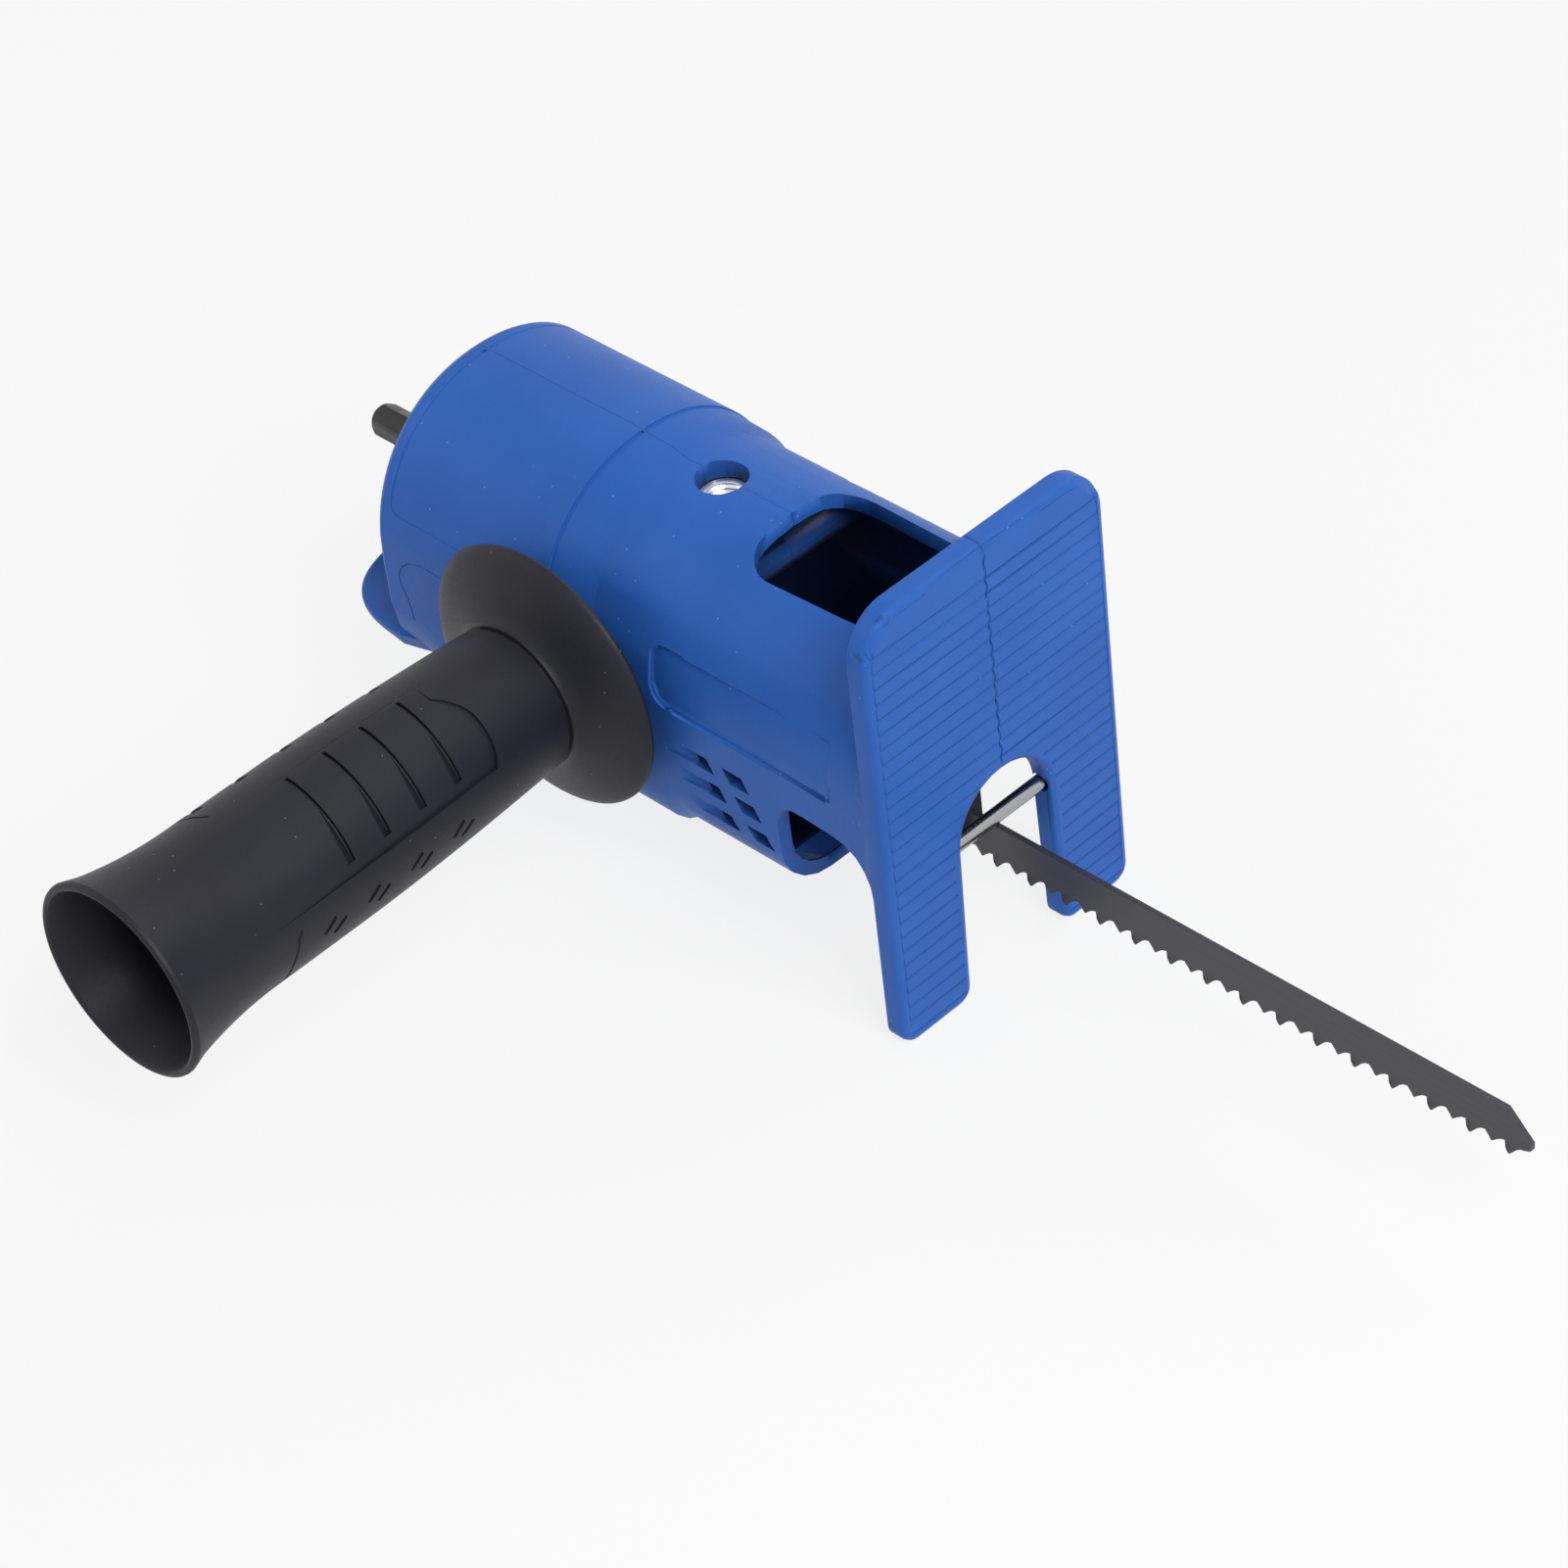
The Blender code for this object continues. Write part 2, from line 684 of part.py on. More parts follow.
def whole_housing():
    """Shell with its inner walls. The bores are cut before the chambers, so none is ever sealed."""
    stations = body_stations()
    rings = [along("X", place, section(*sizes)) for place, *sizes in stations]
    housing = make("housing", loft(rings))
    join(housing, chin())
    floor = BARREL_BOTTOM - GRIP_WAIST - WALL
    recess = section(BARREL_HALF - WALL, BARREL_TOP - WALL, floor, WAIST_CORNER - WALL)
    cut(housing, prism("X", RIM - RIM_ROUND, RIM + REAR_RECESS, recess))
    cut_bearing_seats(housing)
    cut(housing, hollow(RIM + REAR_WALL_FRONT, RIM + MID_WALL_BACK, stations))
    cut(housing, hollow(RIM + MID_WALL_BACK + MID_WALL_THICKNESS, SHOE_FRONT, stations))
    add_inner_walls(housing)
    cut(housing, window())
    cut(housing, arch())
    join(housing, shoe())
    add_bosses(housing)
    cut_openings(housing)
    return housing


def cut_bearing_seats(housing):
    rear = RIM + REAR_RECESS
    rear_front = RIM + REAR_WALL_FRONT
    mid_back = RIM + MID_WALL_BACK
    mid_front = mid_back + MID_WALL_THICKNESS
    cut(housing, cylinder("X", rear - 1, rear_front + 1, COLLAR_R + 1))
    cut(housing, cylinder("X", rear + BEARING_LIP, rear_front + 1, REAR_BEARING_R + FIT, steps=FINE))
    cut(housing, cylinder("X", mid_back - 1, mid_front + 1, COLLAR_R))
    cut(housing, cylinder("X", mid_back - 1, mid_back + FRONT_BEARING_WIDTH, FRONT_BEARING_R + FIT, steps=FINE))
    cut(housing, rod_bore(mid_back - 1, mid_front + 1, ROD_R + BUSH_WALL + FIT))


def add_inner_walls(housing):
    """Low wall in front of the trough, and the pedestal of the front bush."""
    lip = SHOE_BACK - LIP_SETBACK
    sink = 2 * WALL / 3
    top = -FRONT_BOTTOM + LIP_HEIGHT
    low_wall = scoop(FRONT_HALF - sink, top, FRONT_BOTTOM - sink, LIP_HEIGHT - WALL)
    join(housing, prism("X", lip - WALL, lip, low_wall))
    cut(housing, box((lip - 2 * WALL, -LIP_GAP_HALF, -FRONT_BOTTOM + WALL), (lip + 1, LIP_GAP_HALF, 0.0)))
    pedestal = RIM + PEDESTAL_BACK
    front = pedestal + PEDESTAL_LENGTH
    top = -ROD_DROP + ROD_R + BUSH_WALL + WALL
    join(housing, box((pedestal, -PEDESTAL_HALF, -FRONT_BOTTOM + 1), (front, PEDESTAL_HALF, top)))
    cut(housing, rod_bore(pedestal - 1, front + 1, ROD_R + BUSH_WALL + FIT))


def add_bosses(housing):
    """Bosses of the three handle nuts and of the screw behind the window."""
    for side in (-1, 1):
        ends = sorted((side * (SIDE_NUT_INNER - 1), side * (FRONT_HALF - 1)))
        join(housing, cylinder("Y", ends[0], ends[1], nut_boss_radius(), (0.0, HANDLE_X)))
    under_skin = FRONT_TOP - 0.7 * WALL
    join(housing, cylinder("Z", TOP_NUT_INNER - 1, under_skin, nut_boss_radius(), (TOP_NUT_X, 0.0)))
    station, height = SCREW_PLACES[-1]
    boss_half = SCREW_SEAT + SCREW_HEAD_HEIGHT / 4
    join(housing, cylinder("Y", -boss_half, boss_half, SCREW_BOSS_R, (height, RIM + station), 20))


def cut_openings(housing):
    """Nut pockets, holes, side recesses, vents and the grooves of the shoe."""
    for side in (-1, 1):
        for space in side_nut_space(side):
            cut(housing, space)
        cut(housing, side_panel(side))
        cut(housing, vents(side))
    seat = TOP_NUT_INNER + NUT_HEIGHT + FIT
    cut(housing, hexagon("Z", TOP_NUT_INNER - 2, seat, NUT_FLATS + GAP, (TOP_NUT_X, 0.0)))
    cut(housing, cylinder("Z", seat - 1, BEYOND, BOLT_R + 1.2, (TOP_NUT_X, 0.0)))
    for place in SCREW_PLACES:
        for hole in screw_holes(place):
            cut(housing, hole)
    reach = PIN_HALF_LENGTH + FIT
    cut(housing, cylinder("Y", -reach, reach, PIN_R + FIT, guide_pin_centre(), 16))
    cut(housing, shoe_grooves())


def housing_halves():
    finish = plastic("blue_plastic", BLUE)
    housing = whole_housing()
    for name, side in (("housing_left", 1), ("housing_right", -1)):
        half = bpy.data.objects.new(name, housing.data.copy())
        bpy.context.collection.objects.link(half)
        ends = sorted((side * SEAM / 2, -side * 2 * BEYOND))
        cut(half, box((-BEYOND, ends[0], -2 * BEYOND), (5 * BEYOND, ends[1], 2 * BEYOND)))
        half.data.materials.clear()
        half.data.materials.append(finish)
        tidy(half)
    bpy.data.objects.remove(housing, do_unlink=True)


def housing_screws():
    seat = SCREW_SEAT + FIT
    profile = (
        (-SCREW_REACH, 0.0),
        (-SCREW_REACH + SCREW_R, SCREW_R),
        (seat, SCREW_R),
        (seat, SCREW_HEAD_R),
        (seat + 0.6 * SCREW_HEAD_HEIGHT, SCREW_HEAD_R),
        (seat + SCREW_HEAD_HEIGHT, 0.55 * SCREW_HEAD_R),
        (seat + SCREW_HEAD_HEIGHT, 0.0),
    )
    for number, (station, height) in enumerate(SCREW_PLACES, 1):
        body = turned("Y", profile, 12, (height, RIM + station))
        make(f"housing_screw_{number}", body, metal("screw_steel", GREY_STEEL))


def guide_pin():
    reach = PIN_HALF_LENGTH
    chamfer = 0.3 * PIN_R
    profile = (
        (-reach, 0.0),
        (-reach, PIN_R - chamfer),
        (-reach + chamfer, PIN_R),
        (reach - chamfer, PIN_R),
        (reach, PIN_R - chamfer),
        (reach, 0.0),
    )
    make("guide_pin", turned("Y", profile, 20, guide_pin_centre()), metal("pin_steel", BRIGHT_STEEL, 0.2))


def bearing(name, back, width, outer, shaft_radius, axle):
    """Sealed ball bearing: the outer ring with its shields, and the ring on the shaft."""
    split = shaft_radius + FIT + RACE_THICKNESS
    finish = metal("bearing_steel", BRIGHT_STEEL, 0.25)
    low = back + FIT
    high = back + width - FIT
    make(name + "_outer_race", tube("X", low, high, split + GAP, outer, steps=FINE), finish)
    make(name + "_inner_race", tube("X", low, high, shaft_radius + FIT, split), finish, axle)


def drive_shaft(axle):
    shank = hexagon("X", 0.0, RIM + REAR_RECESS, HEX_FLATS)
    shaft = make("drive_shaft", shank, metal("black_oxide", BLACK_OXIDE, 0.45), axle)
    corner = HEX_FLATS / math.sqrt(3)
    point = turned(
        "X",
        ((-1, corner - 1.2), (-1, 2 * corner), (1.2, 2 * corner), (1.2, corner + 0.1), (0.0, corner - 0.9)),
        24,
    )
    cut(shaft, point)
    rear = RIM + REAR_RECESS
    collar = rear + BEARING_LIP + REAR_BEARING_WIDTH + FIT
    step = RIM + MID_WALL_BACK - FIT
    nose = RIM + MID_WALL_BACK + MID_WALL_THICKNESS + CLIP_WIDTH
    profile = (
        (rear - 1.5, 0.0),
        (rear - 1.5, SHAFT_R),
        (collar, SHAFT_R),
        (collar, COLLAR_R),
        (collar + COLLAR_LENGTH, COLLAR_R),
        (collar + COLLAR_LENGTH, SHAFT_R),
        (step, SHAFT_R),
        (step, SHAFT_NOSE_R),
        (nose - 0.8, SHAFT_NOSE_R),
        (nose, SHAFT_NOSE_R - 0.8),
        (nose, 0.0),
    )
    join(shaft, turned("X", profile))
    tidy(shaft)


def wobble_drive(axle, tilted):
    """Tilted hub on the shaft, its bearing, and the ring with the drive finger."""
    steel = metal("bearing_steel", BRIGHT_STEEL, 0.25)
    cast = metal("hub_steel", GREY_STEEL, 0.5)
    inner = HUB_R + FIT
    inner_out = inner + INNER_RACE
    outer_in = inner_out + GAP
    outer_out = outer_in + OUTER_RACE
    ring_in = outer_out + FIT
    ring_out = ring_in + RING_THICKNESS
    flange = inner_out - 2 * FIT
    seat = RACE_HALF + FIT
    groove_end = seat + CLIP_WIDTH + 2 * FIT
    profile = (
        (-seat - HUB_FLANGE, 0.0),
        (-seat - HUB_FLANGE, flange),
        (-seat, flange),
        (-seat, HUB_R),
        (seat, HUB_R),
        (seat, HUB_R - CLIP_HEIGHT / 2),
        (groove_end, HUB_R - CLIP_HEIGHT / 2),
        (groove_end, HUB_R),
        (HUB_HALF + FIT, HUB_R),
        (HUB_HALF + FIT, 0.0),
    )
    turn = Matrix.Translation((RING_X, 0.0, 0.0)) @ Matrix.Rotation(TILT, 4, "Z")
    hub = make("wobble_hub", turned("X", profile), cast, axle, turn)
    cut(hub, cylinder("X", RING_X - 4 * HUB_HALF, RING_X + 4 * HUB_HALF, SHAFT_R + FIT))
    cut(hub, cylinder("Z", 0.0, BEYOND, SET_SCREW_R + FIT, (RING_X, 0.0), 14))
    tidy(hub)
    screw = cylinder("Z", SHAFT_R + FIT, SHAFT_R + FIT + SET_SCREW_LENGTH, SET_SCREW_R, (RING_X, 0.0), 14)
    make("hub_set_screw", screw, metal("screw_steel", GREY_STEEL), axle)
    parts = (
        ("wobble_inner_race", inner, inner_out, hub.parent),
        ("wobble_outer_race", outer_in, outer_out, tilted),
    )
    for name, low, high, parent in parts:
        body = tube("X", -RACE_HALF, RACE_HALF, low, high, steps=ROUND)
        make(name, body, steel, parent, turn if parent == axle else None)
    ring = make("wobble_ring", tube("X", -RING_HALF, RING_HALF, ring_in, ring_out, steps=FINE), cast, tilted)
    tip = -(ROD_DROP + FINGER_REACH)
    finger = (
        (tip, 0.0),
        (tip + 0.2 * FINGER_R, 0.6 * FINGER_R),
        (tip + FINGER_R, FINGER_R),
        (-ring_in - RING_THICKNESS / 2, FINGER_R),
        (-ring_in - RING_THICKNESS / 2, 0.0),
    )
    join(ring, turned("Z", finger, 20))
    tidy(ring)
    hub_clip(axle, turn, seat + FIT)


def hub_clip(axle, turn, low):
    ring = tube("X", low, low + CLIP_WIDTH, HUB_R - CLIP_HEIGHT / 2 + FIT, HUB_R + CLIP_HEIGHT, steps=24)
    made = make("hub_clip", ring, metal("spring_steel", GREY_STEEL), axle, turn)
    gap = box((low - 1, -CLIP_HEIGHT, 0.0), (low + CLIP_WIDTH + 1, CLIP_HEIGHT, 2 * HUB_R))
    gap.transform(turn)
    cut(made, gap)
    tidy(made)


def finger_swing():
    """How far the finger reaches forward when the hub rocks it."""
    reach = ROD_DROP + FINGER_REACH - FINGER_R
    return reach * math.sin(TILT) + FINGER_R * math.cos(TILT)


def slide_rod(slide):
    """Round rod with a yoke for the finger at its rear end."""
    finish = metal("rod_steel", BRIGHT_STEEL, 0.25)
    back = RIM + REAR_WALL_FRONT + STROKE / 2 + RUN
    front = RING_X + finger_swing() + STROKE / 2 + GAP + FINGER_PLAY
    clamp = clamp_back()
    channel = FINGER_R + FINGER_PLAY
    cheek = channel + YOKE_CHEEK
    rod = make("slide_rod", box((back, -cheek, -ROD_R), (front, cheek, YOKE_TOP)), finish, slide)
    floor = -FINGER_REACH - GAP
    cut(rod, box((back - 1, -channel, floor), (front + 1, channel, YOKE_TOP + 1)))
    end = clamp + CLAMP_SOCKET - FIT
    join(rod, cylinder("X", front - FINGER_R, end, ROD_R, steps=24))
    cut(rod, box((back - 1, -channel, floor), (front - FINGER_PLAY, channel, YOKE_TOP + 1)))
    cut(rod, cylinder("Y", -BEYOND, BEYOND, CROSS_PIN_R + FIT, (0.0, clamp + CLAMP_SOCKET / 2), 14))
    tidy(rod)
    pin = cylinder("Y", -CLAMP_HALF + FIT, CLAMP_HALF - FIT, CROSS_PIN_R, (0.0, clamp + CLAMP_SOCKET / 2), 14)
    make("cross_pin", pin, metal("pin_steel", BRIGHT_STEEL, 0.2), slide)


def clamp_back():
    """Rear face of the blade clamp: clear of the pedestal at the back of the stroke."""
    return RIM + PEDESTAL_BACK + PEDESTAL_LENGTH + STROKE / 2 + RUN


def blade_clamp(slide):
    back = clamp_back()
    front = back + CLAMP_LENGTH
    shift = ROD_DROP
    low = (back, -CLAMP_HALF, -CLAMP_DOWN)
    high = (front, CLAMP_HALF, CLAMP_UP)
    clamp = make("blade_clamp", box(low, high), metal("black_oxide", BLACK_OXIDE, 0.45), slide)
    cut(clamp, cylinder("X", back - 1, back + CLAMP_SOCKET, ROD_R + FIT, steps=24))
    slot = BLADE_THICKNESS / 2 + FIT
    tang_back = blade_end() - GAP
    top = shift - BLADE_BACK + GAP
    cut(clamp, box((tang_back, -slot, -2 * CLAMP_DOWN), (front + 1, slot, top)))
    cut(clamp, cylinder("Y", -BEYOND, BEYOND, CROSS_PIN_R + FIT, (0.0, back + CLAMP_SOCKET / 2), 14))
    inner = -BLADE_THICKNESS / 2 - GAP
    for number in (1, 2):
        centre = (0.0, front - GRUB_SETBACK - GRUB_SPACING * (number - 1))
        cut(clamp, cylinder("Y", -BEYOND, 0.0, GRUB_R + FIT, centre, 14))
        body = cylinder("Y", -CLAMP_HALF + GAP, inner, GRUB_R, centre, 14)
        screw = make(f"clamp_screw_{number}", body, metal("screw_steel", GREY_STEEL), slide)
        cut(screw, hexagon("Y", -CLAMP_HALF - 1, -CLAMP_HALF + 0.5 * CLAMP_HALF, GRUB_R, centre))
    tidy(clamp)


def blade_end():
    """Rear end of the blade's shank in the clamp."""
    return clamp_back() + CLAMP_LENGTH - BLADE_GRIP


def saw_blade(slide):
    """Flat blade with teeth that point back to the tool, seen from the side as (z, x)."""
    end = blade_end()
    tip = end + BLADE_LENGTH
    back = ROD_DROP - BLADE_BACK
    gullet = back - BLADE_BODY
    tooth = gullet - TOOTH_HEIGHT
    middle = back - (BLADE_BODY + TOOTH_HEIGHT) / 2
    shoulder = end + TANG_LENGTH
    outline = [
        (back, tip - TIP_SLANT),
        (back, shoulder),
        (middle + TANG_HALF, shoulder),
        (middle + TANG_HALF, end + LUG_BACK + LUG_LENGTH),
        (back, end + LUG_BACK + LUG_LENGTH),
        (back, end + LUG_BACK),
        (middle + TANG_HALF, end + LUG_BACK),
        (middle + TANG_HALF, end),
        (middle - TANG_HALF, end),
        (middle - TANG_HALF, shoulder),
        (gullet, shoulder),
    ]
    count = int((BLADE_LENGTH - PLAIN_LENGTH - TIP_LAND) / TOOTH_PITCH)
    first = tip - TIP_LAND - TOOTH_PITCH * count
    for i in range(count):
        x = first + TOOTH_PITCH * i
        outline += [
            (gullet, x),
            (gullet - 0.35 * TOOTH_HEIGHT, x + 0.16 * TOOTH_PITCH),
            (tooth, x + 0.28 * TOOTH_PITCH),
            (gullet - 0.3 * TOOTH_HEIGHT, x + 0.78 * TOOTH_PITCH),
        ]
    outline += [(gullet - 0.5 * TOOTH_HEIGHT, tip - 0.9 * TIP_LAND), (back - TIP_DROP, tip)]
    half = BLADE_THICKNESS / 2
    make("saw_blade", prism("Y", -half, half, outline), metal("blade_steel", BLADE_GREY, 0.45), slide)


def bushes():
    finish = metal("bronze", BRONZE, 0.4)
    places = (
        ("rear_bush", RIM + MID_WALL_BACK, MID_WALL_THICKNESS),
        ("front_bush", RIM + PEDESTAL_BACK, PEDESTAL_LENGTH),
    )
    for name, back, length in places:
        body = tube("X", back + FIT, back + length - FIT, ROD_R + FIT, ROD_R + BUSH_WALL, (0.0, -ROD_DROP))
        make(name, body, finish)


def nut(axis, low, centre):
    body = make("nut", hexagon(axis, low, low + NUT_HEIGHT, NUT_FLATS, centre), metal("zinc_plate", ZINC, 0.25))
    cut(body, cylinder(axis, low - 1, low + NUT_HEIGHT + 1, BOLT_R + FIT, centre, 24))
    return body


def nuts():
    for name, low in (("left_nut", SIDE_NUT_INNER), ("right_nut", -SIDE_NUT_INNER - NUT_HEIGHT)):
        nut("Y", low, (0.0, HANDLE_X)).name = name
    nut("Z", TOP_NUT_INNER, (TOP_NUT_X, 0.0)).name = "top_nut"


def handle_seat():
    return BARREL_HALF + GAP + SEAT_R * math.sin(HANDLE_LEAN)


def handle_place():
    """Lean of the handle and its bolt about the middle of the nut that holds them."""
    pivot = Vector((HANDLE_X, -SIDE_NUT_INNER - NUT_HEIGHT / 2, 0.0))
    return Matrix.Translation(pivot) @ Matrix.Rotation(HANDLE_LEAN, 4, "Z") @ Matrix.Translation(-pivot)


def flange_curve(rim):
    """Front of the flange, an S curve from its edge down to the neck."""
    places = (0.15, 0.37, 0.63, 0.85)
    rise = FLANGE_R - NECK_R
    return [(rim + FLANGE_DEPTH * s, NECK_R + rise * (1 + math.cos(math.pi * s)) / 2) for s in places]


def flare_curve(end, wall, places):
    """Grip widening to the mouth, a wall's thickness inside its outer side."""
    return [(end - MOUTH_FLARE * (1 - s), GRIP_R + (MOUTH_R - GRIP_R) * s ** 2 - wall) for s in places]


def handle():
    """Side handle turned about Y: hub, wide flange, grip and a flared open mouth."""
    seat = handle_seat()
    rim = seat + FLANGE_RISE
    end = seat + HANDLE_LENGTH
    neck = rim + FLANGE_DEPTH
    edge = FLANGE_EDGE
    lip = GRIP_WALL / 4
    swell = GRIP_R - NECK_R
    profile = [
        (seat, BOLT_R + GAP),
        (seat, SEAT_R),
        (seat + edge, SEAT_R + edge),
        (rim - edge, FLANGE_R - 2 * edge),
        (rim - 0.8 * edge, FLANGE_R - 0.6 * edge),
        (rim, FLANGE_R),
    ]
    profile += flange_curve(rim)
    profile += [
        (neck, NECK_R),
        (neck + NECK_GROOVE / 2, NECK_R - NECK_GROOVE),
        (neck + 2 * NECK_GROOVE, NECK_R),
        (neck + 0.12 * HANDLE_LENGTH, NECK_R + 0.2 * swell),
        (neck + 0.3 * HANDLE_LENGTH, NECK_R + 0.65 * swell),
        (neck + 0.5 * HANDLE_LENGTH, GRIP_R),
    ]
    profile += flare_curve(end, 0.0, (0.0, 0.3, 0.55, 0.75, 0.9))
    profile += [(end - lip, MOUTH_R), (end, MOUTH_R - lip), (end, MOUTH_R - 2 * lip)]
    profile += flare_curve(end - lip, GRIP_WALL, (0.85, 0.5, 0.0))
    profile += [
        (seat + 1.5 * GRIP_SOLID, NECK_R - GRIP_WALL),
        (seat + GRIP_SOLID, NECK_R - 1.2 * GRIP_WALL),
        (seat + GRIP_SOLID, BOLT_R + GAP),
    ]
    body = turned("Y", [(-place, radius) for place, radius in profile], FINE, (0.0, HANDLE_X))
    make("handle_grip", body, plastic("black_rubber", CHARCOAL), frame=handle_place())


def handle_bolt():
    head = -(handle_seat() + GRIP_SOLID + FIT)
    centre = (0.0, HANDLE_X)
    place = handle_place()
    bolt = make("handle_bolt", hexagon("Y", head - BOLT_HEAD_HEIGHT, head, NUT_FLATS, centre),
                metal("zinc_plate", ZINC, 0.25), frame=place)
    chamfer = 0.2 * BOLT_R
    profile = ((head - 1, 0.0), (head - 1, BOLT_R), (-BOLT_END - chamfer, BOLT_R), (-BOLT_END, BOLT_R - chamfer),
               (-BOLT_END, 0.0))
    shank = turned("Y", profile, 24, centre)
    shank.transform(place)
    join(bolt, shank)
    tidy(bolt)


def build():
    clear_scene()
    axle = empty("shaft_axis", (0.0, 0.0, 0.0))
    tilted = empty("wobble_axis", (RING_X, 0.0, 0.0), (0.0, 0.0, TILT))
    slide = empty("rod_axis", (0.0, 0.0, -ROD_DROP))
    housing_halves()
    housing_screws()
    guide_pin()
    rear = RIM + REAR_RECESS + BEARING_LIP
    bearing("rear_bearing", rear, REAR_BEARING_WIDTH, REAR_BEARING_R, SHAFT_R, axle)
    bearing("front_bearing", RIM + MID_WALL_BACK, FRONT_BEARING_WIDTH, FRONT_BEARING_R, SHAFT_NOSE_R, axle)
    drive_shaft(axle)
    wobble_drive(axle, tilted)
    slide_rod(slide)
    blade_clamp(slide)
    saw_blade(slide)
    bushes()
    nuts()
    handle()
    handle_bolt()


build()
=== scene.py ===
# %% [markdown]
# # Dressing a reciprocating saw that a drill drives
#
# The imported saw already has every piece at its real size. This lesson gives it the looks: fine moulded lines,
# a grip with grooves and slots, set saw teeth, threads, and a material with real detail on every piece.
# It starts by loading the imported model, which stays fixed, and by keeping its box.

# %% Load the imported saw
import json
import math

import bpy
from mathutils import Euler, Matrix, Vector
from mathutils.bvhtree import BVHTree
from mathutils.geometry import barycentric_transform


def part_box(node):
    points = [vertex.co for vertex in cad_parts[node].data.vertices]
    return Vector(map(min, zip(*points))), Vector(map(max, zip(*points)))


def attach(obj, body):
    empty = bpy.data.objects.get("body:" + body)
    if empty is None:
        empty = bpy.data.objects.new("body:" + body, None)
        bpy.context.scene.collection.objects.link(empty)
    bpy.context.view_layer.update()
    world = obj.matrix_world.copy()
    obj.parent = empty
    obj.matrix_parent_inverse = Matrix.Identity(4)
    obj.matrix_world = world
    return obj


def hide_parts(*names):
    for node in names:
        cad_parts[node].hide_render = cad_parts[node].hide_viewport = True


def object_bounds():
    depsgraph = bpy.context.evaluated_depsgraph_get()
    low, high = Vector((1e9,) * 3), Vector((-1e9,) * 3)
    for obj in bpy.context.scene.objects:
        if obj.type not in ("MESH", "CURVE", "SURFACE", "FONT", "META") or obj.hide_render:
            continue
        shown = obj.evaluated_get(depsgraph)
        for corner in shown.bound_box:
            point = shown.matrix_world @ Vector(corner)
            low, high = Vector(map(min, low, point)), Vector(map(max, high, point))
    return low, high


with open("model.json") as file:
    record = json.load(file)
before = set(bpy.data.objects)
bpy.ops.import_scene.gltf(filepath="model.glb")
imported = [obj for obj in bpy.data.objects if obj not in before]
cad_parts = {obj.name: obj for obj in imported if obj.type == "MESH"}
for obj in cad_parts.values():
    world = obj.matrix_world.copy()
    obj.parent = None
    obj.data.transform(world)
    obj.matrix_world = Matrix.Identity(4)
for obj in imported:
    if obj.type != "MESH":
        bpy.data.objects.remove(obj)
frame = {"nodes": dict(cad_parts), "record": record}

nodes = frame["nodes"]
cad_box = [list(corner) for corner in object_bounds()]
mm = 0.001
print("nodes:", len(nodes), "box in mm:", [[round(v / mm, 1) for v in corner] for corner in cad_box])

# %% [markdown]
# ## Camera
#
# A product photo is taken from far away with a long lens, so lines that are parallel stay nearly parallel.
# The place and the turn of the camera were found by fitting straight edges of the saw to the photo.
# The focal length is a number of image pixels, and the lens in millimetres follows from the sensor's width.

# %% Camera
PHOTO_WIDTH = 1601
FOCAL_PIXELS = 5087.2
SENSOR_WIDTH = 36.0
CAMERA_PLACE = Vector((662.036, -476.777, 576.849)) * mm
CAMERA_TURN = [math.radians(angle) for angle in (49.6424, 5.6118, 44.5571)]

bpy.ops.object.select_all(action="DESELECT")
bpy.ops.object.camera_add(location=CAMERA_PLACE, rotation=Euler(CAMERA_TURN))
camera = bpy.context.object
camera.name = "photo_camera"
camera.data.sensor_width = SENSOR_WIDTH
camera.data.lens = SENSOR_WIDTH * FOCAL_PIXELS / PHOTO_WIDTH
camera.data.clip_start = 0.01
camera.data.clip_end = 20.0
bpy.context.scene.camera = camera
print("lens in mm:", round(camera.data.lens, 1))

# %% [markdown]
# ## Floor
#
# The photo has a white background. More light on a floor would make it white too, but would wash out the saw.
# So the floor is a pale surface for most rays, and what the camera or a reflection sees of it is mostly plain white:
# the saw keeps a soft shadow, and steel mirrors a white studio.

# %% Floor
FLOOR_SIDE = 8.0
FLOOR_WHITE = 0.82      # share of plain white in what the camera sees of the floor


def seen_by_eye(tree):
    """Factor that is 1 for what the camera sees, also by way of a mirror or glass."""
    path = tree.nodes.new("ShaderNodeLightPath")
    total = path.outputs["Is Camera Ray"]
    for ray in ("Is Glossy Ray", "Is Transmission Ray"):
        step = tree.nodes.new("ShaderNodeMath")
        step.operation = "MAXIMUM"
        tree.links.new(total, step.inputs[0])
        tree.links.new(path.outputs[ray], step.inputs[1])
        total = step.outputs[0]
    return total


def floor_material():
    material = bpy.data.materials.new("studio_floor")
    material.use_nodes = True
    tree = material.node_tree
    shader = tree.nodes["Principled BSDF"]
    shader.inputs["Base Color"].default_value = (0.8, 0.8, 0.8, 1)
    shader.inputs["Roughness"].default_value = 0.9
    shader.inputs["Specular IOR Level"].default_value = 0.0
    glow = tree.nodes.new("ShaderNodeEmission")
    share = tree.nodes.new("ShaderNodeMath")
    share.operation = "MULTIPLY"
    share.inputs[1].default_value = FLOOR_WHITE
    mix = tree.nodes.new("ShaderNodeMixShader")
    tree.links.new(seen_by_eye(tree), share.inputs[0])
    tree.links.new(share.outputs[0], mix.inputs[0])
    tree.links.new(shader.outputs[0], mix.inputs[1])
    tree.links.new(glow.outputs[0], mix.inputs[2])
    tree.links.new(mix.outputs[0], tree.nodes["Material Output"].inputs["Surface"])
    return material


